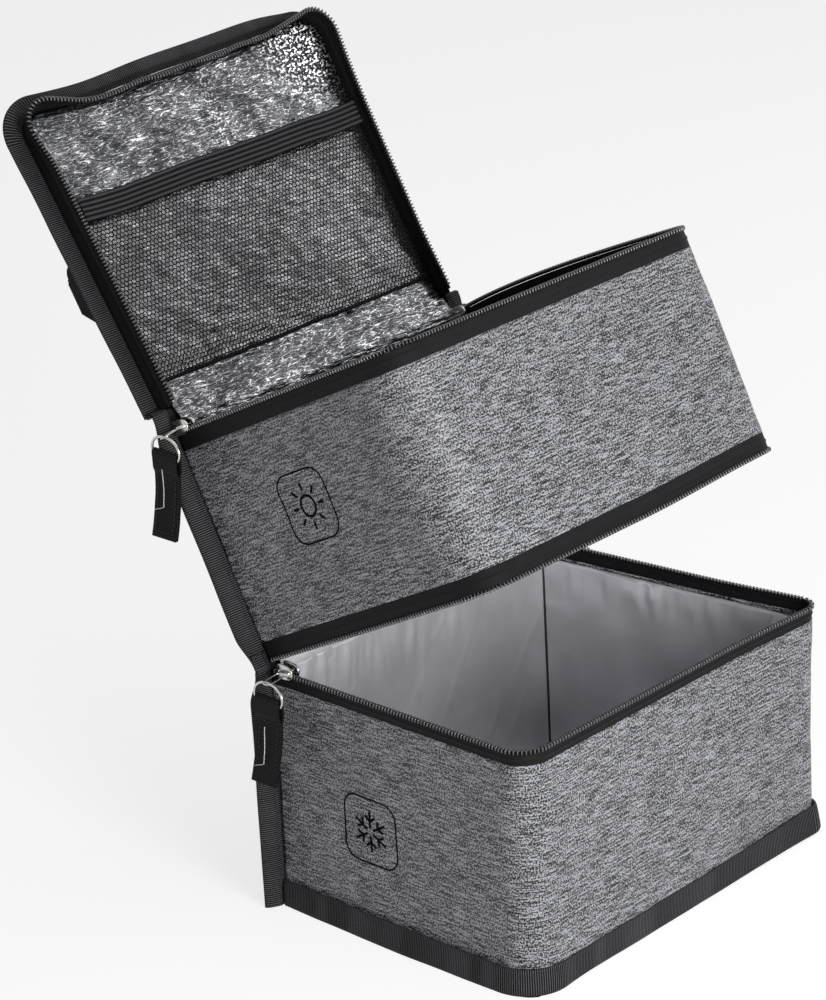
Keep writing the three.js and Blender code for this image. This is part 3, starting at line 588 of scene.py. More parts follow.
def setStage():
    scene = bpy.context.scene
    scene.view_settings.view_transform = "Standard"
    corner = 4.0
    floor = buildMesh("studioFloor", [(-corner, -corner, 0), (corner, -corner, 0), (corner, corner, 0),
                                      (-corner, corner, 0)], [np.array([[0, 1, 2, 3]])], smooth=False)
    floor.data.materials.append(floorMaterial())


setCamera()
setLamps()
setStage()
print("camera, light and floor set")

# heather polyester Oxford cloth: dull grey, light and dark yarns mixed both ways (yarns drawn 1 mm wide)
heatherCloth = woven("heather polyester", "#040405", "#b6b7bd", 1.0, 13.0, 0.48, 0.7, (0.479, 0.548), 0.4)
# 600D black polyester: near black, faint weave
blackCloth = woven("black polyester", "#050506", "#2a2a2d", 0.8, 3.0, 0.7, 0.6, (0.41, 0.59), 0.15)
# grosgrain ribbon: black, the crests of its cords painted lighter as painted highlights
ribbonTape = ribbed("grosgrain ribbon", "#060606", "#68686c", 1.35, 0.8, 0, (0.48, 0.85))
# knitted zip tape: smooth black with fine lengthwise rows
zipTape = ribbed("zip tape", "#060606", "#2a2a2c", 0.9, 0.6, 1, (0.35, 0.85))
# nylon monofilament coil: glossy black
coilNylon = solidPlastic("nylon coil", "#141415", "#4c4c50", 0.2, 0.8, 0.15, 0.0, 1.0)
# polyethylene foam: soft grey cells
foamSheet = solidPlastic("polyethylene foam", "#8a8b8e", "#b4b5b8", 0.9, 1.2, 0.6)
# fibreboard: grey-brown, slightly mottled
fibreBoard = solidPlastic("fibreboard", "#5f5a52", "#7a746a", 0.85, 1.5, 0.4)
# PEVA film with a silver back coat: satin grey, soft folds
silverFilm = film("silver PEVA film", "#c6c6ca", "#dcdce0", 0.45, 0.34, 9.0, 0.1)
# aluminised PE film: bright, crinkled, its sharp glints painted into the colour as near-white painted
# highlights
foilFilm = wrinkledMirror("aluminised film", "#1f2022", "#4d4e51", "#f4f4f6")
# polyester mesh and woven elastic: black yarn
netYarn = solidPlastic("mesh yarn", "#030304", "#0c0c0d", 0.7, 0.6, 0.3, 0.0, 0.1)
# the elastic's ridges painted lighter and its grooves darker: painted highlights and shade
elasticTape = ribbed("woven elastic", "#0b0b0c", "#4d4d50", 3.3, 0.7, 1, (0.28, 0.85))
# polyester webbing: black, herringbone cords
webTape = ribbed("polyester webbing", "#040404", "#2c2c2f", 1.5, 0.9, 1, (0.45, 0.85))
# nickel-plated zinc: bright warm grey mirror, slightly soft from die casting
nickel = solidPlastic("nickel plate", "#b9b8b4", "#cfcecb", 0.17, 5.0, 0.04, 1.0)
# spun polyester sewing thread, and the screen-printed ink of the two signs
blackThread = solidPlastic("black thread", "#0a0a0b", "#1c1c1e", 0.6, 0.4, 0.4)
whiteThread = solidPlastic("white thread", "#c9c9cc", "#ececee", 0.6, 0.4, 0.4)
printInk = solidPlastic("black print", "#020202", "#060607", 0.8, 0.8, 0.2, 0.0, 0.05)
print("materials made")


# cloth walls, foam, spine
wall = dict(weave=0.25, fold=0.55, pucker=0.16)
# heights between which each part has side cloth
clothSpan = {"lower": (1.5, 144.2), "middle": (14.0, 135.0), "lid": (0.0, 17.0)}
panelHalf = bag["width"] / 2 + 0.6  # flat cloth reaches under the root of the flanges


def clothRelief(part, s, z):
    # long soft folds plus short dents, in millimetres
    seed = {"lower": 11, "middle": 21, "lid": 31}[part]
    low, high = clothSpan[part]
    ends = span(z, (low, low + 14), (high - 14, high))
    long = valueNoise(s / 38, z / 26, seed) * wall["fold"]
    short = valueNoise(s / 11, z / 17, seed + 1) * wall["weave"]
    pucker = valueNoise(s / 4.5, 0 * z, seed + 2) * wall["pucker"] * (1 - ends)
    return (long + short) * ends + pucker


def wallSheet(name, part, zLow, zHigh, outer, inner, material, node, slot, step=2.0, relief=True,
              endGap=0.2):
    # a strip round three sides between two heights and two offsets from the wall's face
    start = layers["cloth"] + layers["seat"] + endGap
    s, z = np.meshgrid(np.linspace(start, pathLength - start, int(pathLength / step) + 1),
                       np.linspace(zLow, zHigh, int((zHigh - zLow) / step) + 1), indexing="ij")
    bend = clothRelief(part, s, z) if relief else 0
    grids = [wallPoint(part, s, z, offset + bend) for offset in (outer, inner)]
    sheetPiece(name, part, grids, inMetres(s, z), material, node)


for part in ("lower", "middle"):
    wallSheet(part + "GussetCloth", part, *clothSpan[part], 0.0, -0.9, heatherCloth, part + "_gusset_wall",
              "grey_heather_polyester")
for part, high in (("lower", 141.0), ("middle", 135.0)):
    wallSheet(part + "WallPadding", part, clothSpan[part][0], high, -2.0, -5.2, foamSheet,
              part + "_wall_foam", "insulation_foam", 6.0, False, 1.0)
print("gusset walls made")


# black spine: base and back of the lower part, back of the middle part, panel and short back of the lid
spine = dict(thick=0.9, gap=0.5)


def spineRelief(x, run, seed):
    return 0.35 * valueNoise(x / 45, run / 40, seed) + 0.12 * valueNoise(x / 12, run / 12, seed + 1)


def bentPanel(name, part, start, counts, bend, level, way, upright, dent, node):
    # cloth with rounded front corners that runs back at one level, turns through a small bend and goes on
    # along the back: an outline in y and z, carried along x; way is 1 where it turns up, -1 where down
    flat = np.linspace(start, -bend, counts[0])
    turn = np.linspace(0, math.pi / 2, counts[1])[1:-1]
    y = np.concatenate([flat, -bend + bend * np.sin(turn), 0 * upright])
    z = np.concatenate([level + 0 * flat, level + way * (bend - bend * np.cos(turn)), upright])
    ny = np.concatenate([0 * flat, np.sin(turn), 1 + 0 * upright])[:, None]
    nz = np.concatenate([-way + 0 * flat, -way * np.cos(turn), 0 * upright])[:, None]
    run = runAlong(np.stack([y, z], -1))[:, None]
    corner = bag["radius"]
    hollow = np.clip(corner ** 2 - (y + bag["depth"] - corner) ** 2, 0, None)
    reach = panelHalf - np.where(y < corner - bag["depth"], corner - np.sqrt(hollow), 0)
    x = np.linspace(-1, 1, 110)[None, :] * reach[:, None]
    dy, dz = dent(x, run, ny, nz)
    grids = [np.stack([x, y[:, None] - ny * deep + dy, z[:, None] - nz * deep + dz], -1)
             for deep in (0.0, spine["thick"])]
    sheetPiece(name, part, grids, inMetres(x, run), blackCloth, node)


# how far the cloth moves in y and z; ny and nz are its outward direction
def backDent(x, run, ny, nz):  # the upright back sinks in softly
    return -ny * np.clip(spineRelief(x, run, 41) + 0.4, 0, 0.7) * (run > 205) * 0.6, 0 * x


def lidDent(x, run, ny, nz):  # the flat panel waves a little
    return 0 * x, nz * np.clip(spineRelief(x, run, 47), -0.5, 0.5)


def backPanel(name, part, half, low, high, at, thick, material, node, seed, step=2.5, relief=1.0):
    # upright sheet at the back: at is the depth of its outer face, thick goes inwards
    x, z = np.meshgrid(np.linspace(-half, half, int(2 * half / step) + 1),
                       np.linspace(low, high, int((high - low) / step) + 1), indexing="ij")
    edge = span(z, (low, low + 6), (high - 6, high))
    dent = np.clip(spineRelief(x, z, seed), -0.6, 0.6) * edge * relief
    grids = [np.stack([x, at - deep - np.abs(dent) * 0.8, z], -1) for deep in (0.0, thick)]
    sheetPiece(name, part, grids, inMetres(x, z), material, node)


def blended(name, grids, uv, material):
    # a soft sheet that crosses a fold, drawn bent between both of its bodies as they stand now; it is
    # attached to neither
    piece = sheetShell(name, *grids, uv)
    piece.data.materials.append(material)
    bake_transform(piece)


# each fold's height in the part below it and in the part above
folds = {"lower": (bag["lowerHeight"], 0.0),
         "middle": (bag["middleHeight"] + bag["lidFold"], bag["lidFold"])}


def foldStrip(name, a, b, x0, x1, front, back, reach, material):
    # cloth from just below to just above a fold line, between two depths from the back
    z, x = np.meshgrid(np.linspace(-reach, reach, 19), np.linspace(x0, x1, max(int(abs(x1 - x0) / 6), 3)),
                       indexing="ij")
    share = smoothStep(z, -2.5, 2.5)[..., None]
    low, high = folds[a]
    grids = []
    for y in (back, front):
        below = toWorld(a, np.stack([x, y + 0 * x, z + low], -1))
        above = toWorld(b, np.stack([x, y + 0 * x, z + high], -1))
        grids.append(below * (1 - share) + above * share)
    start, end = toWorld(a, [[0, back, low - 3]])[0], toWorld(b, [[0, back, high + 3]])[0]
    blended(name, grids, inMetres(x, z), material)


bentPanel("lowerSpineCloth", "lower", -bag["depth"] + 3.5, (80, 7), 3.0, 0.0, 1,
          np.linspace(3.0, bag["lowerHeight"] - spine["gap"], 70), backDent, "lower_spine_panel")
backPanel("middleSpineCloth", "middle", panelHalf, 0.5, 160.5, 0.0, spine["thick"], blackCloth,
          "middle_spine_panel", 43)
bentPanel("lidOuterCloth", "lid", -bag["depth"], (90, 6), 2.0, bag["lidHeight"], -1,
          np.linspace(bag["lidHeight"] - 2.0, bag["lidFold"] + spine["gap"], 6), lidDent, "lid_spine_panel")
foldHalf, ribbonEnd = 130.9, 143.2
foldSpans = (("lower", "lower", "middle", 9.0), ("upper", "middle", "lid", 4.5))
for word, a, b, reach in foldSpans:
    foldStrip(word + "FoldCloth", a, b, -foldHalf, foldHalf, -0.95, -0.25, reach,
              blackCloth)
print("spine made")

# bound flange: folded ribbon with a stitched groove at its root
binding = dict(reach=13.2, rib=1.35, ribHigh=0.13)


def flangeOutline(ribs):
    # closed outline of the flange: distance out of the wall, height through it, thinner at the sewn groove
    out = np.array([0.3, 1.5, 2.8, 4.0, 5.9, 8.4, 10.9, 12.4, 13.05, 13.2])
    high = np.array([0.5, 0.4, 0.4, 1.15, 1.22, 1.25, 1.22, 1.02, 0.6, 0.0])
    weight = np.array([0.0, 0.0, 0.3, 1.0, 1.0, 1.0, 1.0, 1.0, 0.8, 0.4])
    top = np.stack([out, high], -1)
    low = np.stack([out[:-1], -high[:-1]], -1)[::-1]
    ring = np.concatenate([top, low])
    weight = np.concatenate([weight, weight[:-1][::-1]])
    lift = np.broadcast_to(ring, (len(ribs),) + ring.shape).copy()
    lift[..., 1] += np.sign(ring[:, 1]) * weight * ribs[:, None]
    return lift


def ribs(run, seed):
    # cords of the ribbon: a raised cosine along its length, a little uneven
    uneven = run + 0.25 * wavy(run, 9, seed)
    return binding["ribHigh"] * (0.5 + 0.5 * np.cos(2 * math.pi * uneven / binding["rib"]))


def around(outlines):
    # distance round each outline from its first corner
    sides = np.linalg.norm(np.diff(outlines, axis=1), axis=-1)
    return np.cumsum(np.concatenate([np.zeros((len(outlines), 1)), sides], 1), 1)


def lidFlange():
    s = np.linspace(0, pathLength, int(pathLength / binding["rib"] * 5))
    outline = flangeOutline(ribs(s, 51))
    x, y, nx, ny = wallPath(s, bag["radius"])
    wave = 0.35 * wavy(s, 30, 52)
    level = bag["lidHeight"] - 1.5
    outline[..., 0] *= (1 - 0.55 * hill(s, farCorner, 34))[:, None]  # mostly hidden by the zip here
    out, up = outline[..., 0], outline[..., 1]
    points = np.stack([x[:, None] + nx[:, None] * out, y[:, None] + ny[:, None] * out,
                       level + up + wave[:, None] * np.clip(out / binding["reach"], 0, 1)], -1)
    sweptPiece("lidFlange", "lid", points, inMetres(s[:, None], around(outline)), ribbonTape,
               "lid_binding")


flangeSwing = 6.0  # the back flanges curl behind the bag


def backFlange(name, part, side, z0, z1, node, seed, hingeEnds=None):
    # it curls behind the bag, except near the folds, where it would meet the next part's flange
    z = np.linspace(z0, z1, int((z1 - z0) / binding["rib"] * 5))
    outline = flangeOutline(ribs(z, seed))
    lean = 0.35 * wavy(z, 35, seed + 1)
    share = np.clip(outline[..., 0] / binding["reach"], 0, 1)
    x = side * (bag["width"] / 2 + outline[..., 0])
    free = span(z, *hingeEnds) if hingeEnds else 0 * z + 0.2
    y = -1.5 + outline[..., 1] + lean[:, None] * share + flangeSwing * free[:, None] * share ** 1.5
    points = np.stack([x, y, np.broadcast_to(z[:, None], x.shape)], -1)
    sweptPiece(name, part, points, inMetres(z[:, None], around(outline)), ribbonTape, node)


def baseFlange():
    # ribbon folded up round the foot: it flares out to the floor, its corners rounder than the wall's
    start = 3.3
    s = np.linspace(start, pathLength - start, int(pathLength / binding["rib"] * 5))
    lift = ribs(s, 61)
    up = np.array([0.0, 0.15, 1.2, 4.0, 8.0, 12.0, 15.2, 16.6, 17.0])
    out = np.array([2.2, 3.2, 3.6, 3.5, 3.3, 3.0, 2.7, 2.4, 1.6])
    weight = np.array([0.0, 0.4, 1.0, 1.0, 1.0, 1.0, 1.0, 0.6, 0.0])
    inUp = np.array([16.6, 12.0, 7.0, 2.0, 0.25])
    inOut = np.array([0.6, 0.7, 0.9, 1.1, 1.3])
    height = np.concatenate([up, inUp])
    reach = np.concatenate([out, inOut])
    weight = np.concatenate([weight, 0 * inUp])
    x, y, nx, ny = wallPath(s, softShape("lower", s, 0 * s)[0])
    sway = 0.3 * wavy(s, 26, 62)
    flare = 2.0 * hill(s, farCorner, 26) - 3.4 * span(s, (190, 250), (340, 430))
    flare = sway + (flare + 2.0 * np.sin(math.pi * np.clip(s / sideLength, 0, 1)))
    off = reach[None] + weight[None] * lift[:, None] + flare[:, None] * (1 - 0.7 * height[None] / 17)
    level = height[None] + 0.5 * wavy(s, 40, 63)[:, None] * (height[None] > 10)
    points = np.stack([x[:, None] + nx[:, None] * off, y[:, None] + ny[:, None] * off, level], -1)
    uv = inMetres(s[:, None], runAlong(np.stack([height, reach], -1))[None])
    sweptPiece("baseFlange", "lower", points, uv, ribbonTape, "base_binding")


lidFlange()
baseFlange()
for word, side in sides:
    node = "_back_binding_" + word.lower()
    backFlange("lowerBackFlange" + word, "lower", side, 0.0, 154.5, "lower" + node, 71 + side,
               [(-2, -1), (132, 152)])
    backFlange("middleBackFlange" + word, "middle", side, 0.5, 160.5, "middle" + node, 75 + side,
               [(2, 22), (136, 158)])
    backFlange("lidBackFlange" + word, "lid", side, 12.5, 15.7, None, 79 + side)
    for level, a, b, reach in foldSpans:
        foldStrip(level + "FoldRibbon" + word, a, b, side * foldHalf,
                  side * ribbonEnd, -2.3, -0.7, reach, ribbonTape)
print("bindings made")

# zips: tape, coil and its thread
# the coil's pitch is drawn coarser than the real 1.9, so that each tooth shows
coil = dict(pitch=2.4, high=2.8, start=5.2, cord=(2.5, 1.7), cordStart=4.0)
zipTapes = dict(inset=0.2, thick=1.0, ridge=0.55)


def tapeStrip(name, part, z0, z1, node, ridge):
    # knitted tape with a few soft waves, and a low ridge part of the way up where the facing is turned in
    start = layers["cloth"] + layers["seat"] + 0.2
    s, z = np.meshgrid(np.linspace(start, pathLength - start, int(pathLength / 2.2) + 1),
                       np.linspace(z0, z1, 19), indexing="ij")
    wave = 0.18 * valueNoise(s / 16, z / 9, 81) + 0.25 * valueNoise(s / 47, z / 20, 82)
    share = (z - z0) / (z1 - z0)
    raised = zipTapes["ridge"] * hill(share, ridge, 0.09)
    offset = -zipTapes["inset"] + wave * np.sin(math.pi * share) + raised
    grids = [wallPoint(part, s, z, offset - deep) for deep in (0.0, zipTapes["thick"])]
    sheetPiece(name, part, grids, inMetres(s, z), zipTape, node)


def coilTeeth(name, part, foot, heads, node):
    # one bent nylon loop per pitch, its head towards the other half, on a cord that runs through them all
    s = np.arange(coil["start"], pathLength - coil["start"], coil["pitch"])
    z = foot + coil["high"] / 2
    centre = wallWorld(part, s, z + 0 * s, -0.5)
    outer = unit(wallWorld(part, s, z + 0 * s, 0.5) - centre)
    above = unit(wallWorld(part, s, z + 1 + 0 * s, -0.5) - centre)
    axes = np.stack([outer, np.cross(outer, above), above * heads], 1)
    # loop: oval rings from its foot to its head, widest at the head
    level = np.array([-1.4, -1.15, -0.3, 0.55, 1.15, 1.4])
    deep = np.array([1.0, 1.6, 1.8, 1.85, 1.5, 0.6])
    thick = np.array([0.35, 0.48, 0.5, 0.66, 0.68, 0.3])
    angle = np.arange(8) * math.pi / 4 + math.pi / 8
    rings = np.stack([deep[:, None] * np.cos(angle), thick[:, None] * np.sin(angle),
                      np.broadcast_to(level[:, None], (6, 8))], -1).reshape(-1, 3)
    shape = np.concatenate([rings, [[0, 0, -1.4], [0, 0, 1.4]]]) / 1000
    ring = np.arange(8)
    faces = [gridFaces(6, 8, 0, False, True),
             np.concatenate([np.stack([np.full(8, 48), (ring + 1) % 8, ring], -1),
                             np.stack([np.full(8, 49), 40 + ring, 40 + (ring + 1) % 8], -1)])]
    uv = np.stack([s / 1000, 0 * s], -1)
    piece = repeatBody(name, shape, faces, centre, axes, uv)
    finish(piece, coilNylon, part, node)
    # woven edge that carries the coil
    run = np.linspace(coil["cordStart"], pathLength - coil["cordStart"], 420)
    lift = -heads * 0.5
    path = wallWorld(part, run, z + lift + 0 * run, -0.9)
    up = wallWorld(part, run, z + 5 + 0 * run, -0.9) - path
    cordPiece(name + "Cord", path, up, ovalSection(*coil["cord"], 8, 3), zipTape, part)


# each zip's two halves: part, foot of the coil, way its heads point, ends of the tape, place of its ridge
halves = (("lower", "Bottom", "lower", 151.2, 1, (144.3, 151.2), 0.55),
          ("lower", "Top", "middle", 1.0, -1, (3.8, 13.9), 0.45),
          ("upper", "Bottom", "middle", 145.2, 1, (135.1, 145.2), 0.55),
          ("upper", "Top", "lid", 1.0, -1, (3.8, 17.0), 0.3))
for zipName, half, part, foot, heads, ends, ridge in halves:
    coilTeeth(f"{zipName}Coil{half}", part, foot, heads, f"{zipName}_zip_chain_{half.lower()}")
for zipName, half, part, foot, heads, ends, ridge in halves:
    tapeStrip(f"{zipName}Tape{half}", part, *ends, f"{zipName}_zip_tape_{half.lower()}", ridge)
print("zips made")


# linings and padding
cavity = dict(farRadius=13.0, backRadius=5.0, front=197.9, back=7.1, seam=(1.5, 0.9), foldHalf=121.0)


def roundedLoop(half, nearRadius, count):
    # rounded rectangle seen from above, from the middle of the back round the near side: x, y, outward, run
    def arc(cx, cy, radius, start):
        angle = np.radians(np.linspace(start, start + 90, 40))
        return np.stack([cx + radius * np.cos(angle), cy + radius * np.sin(angle)], -1)
    front, back, far, small = -cavity["front"], -cavity["back"], cavity["farRadius"], cavity["backRadius"]
    line = np.concatenate([
        [[0.0, back]], arc(-half + small, back - small, small, 90),
        arc(-half + nearRadius, front + nearRadius, nearRadius, 180),
        arc(half - far, front + far, far, 270), arc(half - small, back - small, small, 0), [[0.0, back]]])
    run = runAlong(line)
    at = np.linspace(0, run[-1], count, endpoint=False)
    x, y = pointsAt(at, run, line).T
    tx, ty = np.roll(x, -1) - np.roll(x, 1), np.roll(y, -1) - np.roll(y, 1)
    size = np.hypot(tx, ty)
    return x, y, ty / size, -tx / size, at


def filmBag(name, part, floor, wallTop, backTop, nearRadius, count, rings, levels, relief, material, node):
    # sewn bag of film: from the middle of its floor out to the corners, up the walls, over and down outside
    x, y, nx, ny, run = roundedLoop(bag["width"] / 2 + filmInner, nearRadius, count)
    cy = (-cavity["front"] - cavity["back"]) / 2
    behind = smoothStep(ny, 0.6, 0.95)
    top = wallTop + (backTop - wallTop) * behind
    sections = []
    for k in np.linspace(0.01, 0.985, rings):
        fx, fy = x * k, cy + (y - cy) * k
        lift = relief(fx, fy + 400, "floor") * min(1, (1 - k) * 12)
        sections.append(np.stack([fx, fy, floor + lift], -1))
    for t in np.linspace(0, 1, levels):
        z = floor + 2.0 + (top - floor - 2.0) * t
        push = relief(run, z, "wall") * min(1.0, 4 * t, 9 * (1 - t) + 0.3)
        sections.append(np.stack([x - nx * push, y - ny * push, z], -1))
    for out, z in ((0.5, top), (0.7, top - 1.0), (0.7, 0 * x + floor + 0.5), (0.2, 0 * x + floor - 0.6)):
        sections.append(np.stack([x + nx * out, y + ny * out, z], -1))
    sections.append(np.stack([x * 0.02, cy + (y - cy) * 0.02, 0 * x + floor - 0.6], -1))
    solid = np.array(sections)
    # one slanting projection for floor and walls, so that the pattern has no seam
    uv = np.stack([solid[..., 0] + solid[..., 1], solid[..., 2] + 0.6 * solid[..., 1] + 400], -1)
    sweptPiece(name, part, solid, uv / 1000, material, node)
    # dark seams up the two back corners, where the side strip is sewn to the back
    for word, side in sides:
        corner = np.argmax(side * nx + ny)
        inwards = np.array([-nx[corner], -ny[corner], 0.0])
        line = solid[rings:rings + levels - 1, corner] + inwards * 0.25
        path = toWorld(part, line)
        cordPiece(name + "Seam" + word, path, toWorld(part, line + inwards) - path,
                  ovalSection(*cavity["seam"], 8), blackThread, part)


def pevaRelief(a, b, where):
    # broad soft folds leaning across the film, small puckers where it is gathered into the tape
    broad = 1.5 * valueNoise(a / 52 + b / 140, b / 60, 91) + 0.9 * valueNoise(a / 23 - b / 50, b / 31, 92)
    crease = 1.1 * np.clip(1 - np.abs(valueNoise(a / 34 + b / 45, b / 48, 93)) * 7, 0, 1)
    if where == "floor":
        return 0.8 * broad
    gather = 1.7 * valueNoise(a / 7.0, b / 45, 94) + 0.9 * valueNoise(a / 3.6, b / 24, 95)
    return np.clip(1.2 + broad + crease + smoothStep(b, 112, 138) * gather, -0.4, 4.5)


def foilRelief(a, b, where="wall"):
    # shallow wrinkles longer along the first direction, on broad waves; the same on floor and wall
    fine = 0.3 * valueNoise(a / 8, b / 3.4, 101) + 0.15 * valueNoise(a / 5, b / 2.2, 102)
    return fine + 0.3 * valueNoise(a / 31, b / 27, 104)


filmBag("lowerFilmLining", "lower", 8.9, 144.6, 153.0, 13.5, 400, 26, 56, pevaRelief, silverFilm,
        "lower_lining")
filmBag("middleFoilLining", "middle", 20.7, 134.7, 147.0, 33.0, 560, 60, 70, foilRelief, foilFilm,
        "middle_lining")


def padGrid(half, front, back, step, across):
    # shares from front to back and from the near to the far edge
    a = np.linspace(0, 1, int((back - front) / step) + 1)[:, None]
    return a, np.linspace(-1, 1, int(2 * half / across) + 1)[None, :]


def roundedPad(name, part, half, front, back, radius, z0, z1, material, node, slot, relief=None,
               steps=(8.0, 8.0)):
    # flat sheet with rounded front corners: two grids squeezed into the outline; relief lowers one of them
    a, b = padGrid(half, front, back, *steps)
    y = front + (back - front) * a + 0 * b
    hollow = radius ** 2 - np.clip(radius - (y - front), 0, radius) ** 2
    reach = half - np.where(y < front + radius, radius - np.sqrt(np.clip(hollow, 0, None)), 0)
    x = b * reach
    lift = relief(x, y + 400) if relief else 0 * x
    edge = np.minimum(smoothStep(np.abs(b), 1.0, 0.97) * smoothStep(a, 0, 0.02), 1 - smoothStep(a, 0.98, 1))
    low = np.stack([x, y, z0 - lift * edge], -1)
    high = np.stack([x, y, z1 + 0 * x], -1)
    return sheetPiece(name, part, (low, high), inMetres(x, y), material, node)


def lidRelief(x, y):
    return foilRelief(x, y) + 0.7 + 0.6 * valueNoise(x / 44, y / 35, 107)


def coverRelief(x, y):
    return 0.2 * (valueNoise(x / 30, y / 25, 111) + 1)


foil = dict(half=128.7, front=-203.2, back=-1.6, steps=(1.0, 2.0))
lidFoil = roundedPad("lidFoilLining", "lid", foil["half"], foil["front"], foil["back"], 16.4, 13.2, 13.65,
                     foilFilm, "lid_lining", "aluminium_foil_film", lidRelief, foil["steps"])
forward, across = padGrid(foil["half"], foil["front"], foil["back"], *foil["steps"])
forward, across = np.broadcast_arrays(foil["front"] + (foil["back"] - foil["front"]) * forward,
                                      foil["half"] * across)
underNet = smoothStep(forward, -126, -120) * smoothStep(-forward, 14, 18)
# painted glints: a patch of bright specks at the far front corner and a narrow strip towards the front
paintedGlintShare = 0.9 * hill(across, 112, 34) * hill(forward, -188, 32)
# where the net lies over the foil, its painted highlights and shade are evened out
markPoints(lidFoil, "paintedLightEvened", 0.55 * underNet)
markPoints(lidFoil, "paintedGlint", paintedGlintShare + 0.25 * hill(across, 15, 10) * smoothStep(-forward, 130, 150))
roundedPad("lidPadding", "lid", 128.5, -203.0, -1.8, 16.2, 14.1, 16.8, foamSheet, "lid_foam",
           "insulation_foam")
dividerShape = (123.9, -198.4, -6.6, 11.5)
roundedPad("dividerCover", "middle", *dividerShape, 14.05, 14.75, silverFilm, "divider_cover",
           "silver_peva", coverRelief, (3.0, 3.0))
roundedPad("dividerPadding", "middle", *dividerShape, 15.2, 19.4, foamSheet, "divider_foam",
           "insulation_foam")
roundedPad("basePadding", "lower", 124.1, -198.6, -6.4, 11.6, 3.4, 7.6, foamSheet, "base_foam",
           "insulation_foam")
for part, low, high, seed in (("lower", 2.0, 151.6, 121), ("middle", 2.6, 145.6, 123)):
    backPanel(part + "BackPadding", part, 122.9, low, high, -1.9, 3.6, foamSheet, part + "_back_foam",
              seed, 8.0, 0.0)
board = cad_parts["base_board"]
board.data.materials.clear()
board.data.materials.append(fibreBoard)
print("linings and padding made")


def foldFilm(name, a, b, foot, head, relief, material):
    # film that crosses the inside of a fold: a curve from foot, the last points on one back wall, to head,
    # the first points on the next part (each y, z in that part's millimetres), carried along x
    across = toWorld(a, np.array([[0, y, z] for y, z in foot], float))
    onward = toWorld(b, np.array([[0, y, z] for y, z in head], float))
    corners = np.concatenate([across, onward]) * 1000
    run = runAlong(corners)
    at = np.linspace(0, run[-1], int(run[-1] / 0.7))
    line = pointsAt(at, run, corners)
    smooth = np.array([1, 4, 6, 4, 1]) / 16
    for _ in range(4):
        for k in (1, 2):
            line[2:-2, k] = np.convolve(line[:, k], smooth, "valid")
    along = unit(np.gradient(line, axis=0))
    face = np.stack([0 * at, -along[:, 2], along[:, 1]], -1)
    half = cavity["foldHalf"]
    x = np.linspace(-half, half, int(2 * half / 1.4))[None, :]
    t = (at / run[-1])[:, None]
    push = relief(x, at[:, None] + 300) * np.sin(math.pi * np.clip(t, 0.02, 0.98)) ** 0.5
    grids = []
    for deep in (0.0, -0.6):
        grid = line[:, None] + face[:, None] * (push + deep)[..., None]
        grid[..., 0] += x
        grids.append(grid / 1000)
    blended(name, grids, inMetres(x, at[:, None]), material)


def softFilm(x, t):
    return 0.6 + 0.5 * valueNoise(x / 17, t / 9, 131)


def wrinkledFoil(x, t):
    return 0.4 + foilRelief(x, t)


foldFilm("upperFoldFilm", "middle", "lid", [(-7.4, 144.0), (-7.2, 151.0), (-5.6, 156.5)],
         [(-6.0, 10.6), (-12.0, 10.8)], wrinkledFoil, foilFilm)
foldFilm("lowerFoldFilm", "lower", "middle", [(-7.4, 147.0), (-7.0, 151.5)], [(-6.6, 4.5), (-7.4, 13.0)],
         softFilm, silverFilm)


# mesh pocket of the lid
net = dict(half=126.5, bottom=16.3, top=124.8, cellWide=3.2, cellHigh=2.7, yarn=0.72, hem=(2.4, 0.9),
           hemStart=0.6)


def netLevel(x, y):
    # height of the pocket over the foil: sewn down along its lower edge, a little slack in the middle
    lift = 6.25 + 5.0 * (1 - smoothStep(-y, net["bottom"], 33))
    return lift + 0.35 * valueNoise(x / 28, y / 28, 141) * smoothStep(net["half"] - np.abs(x), 0, 12)


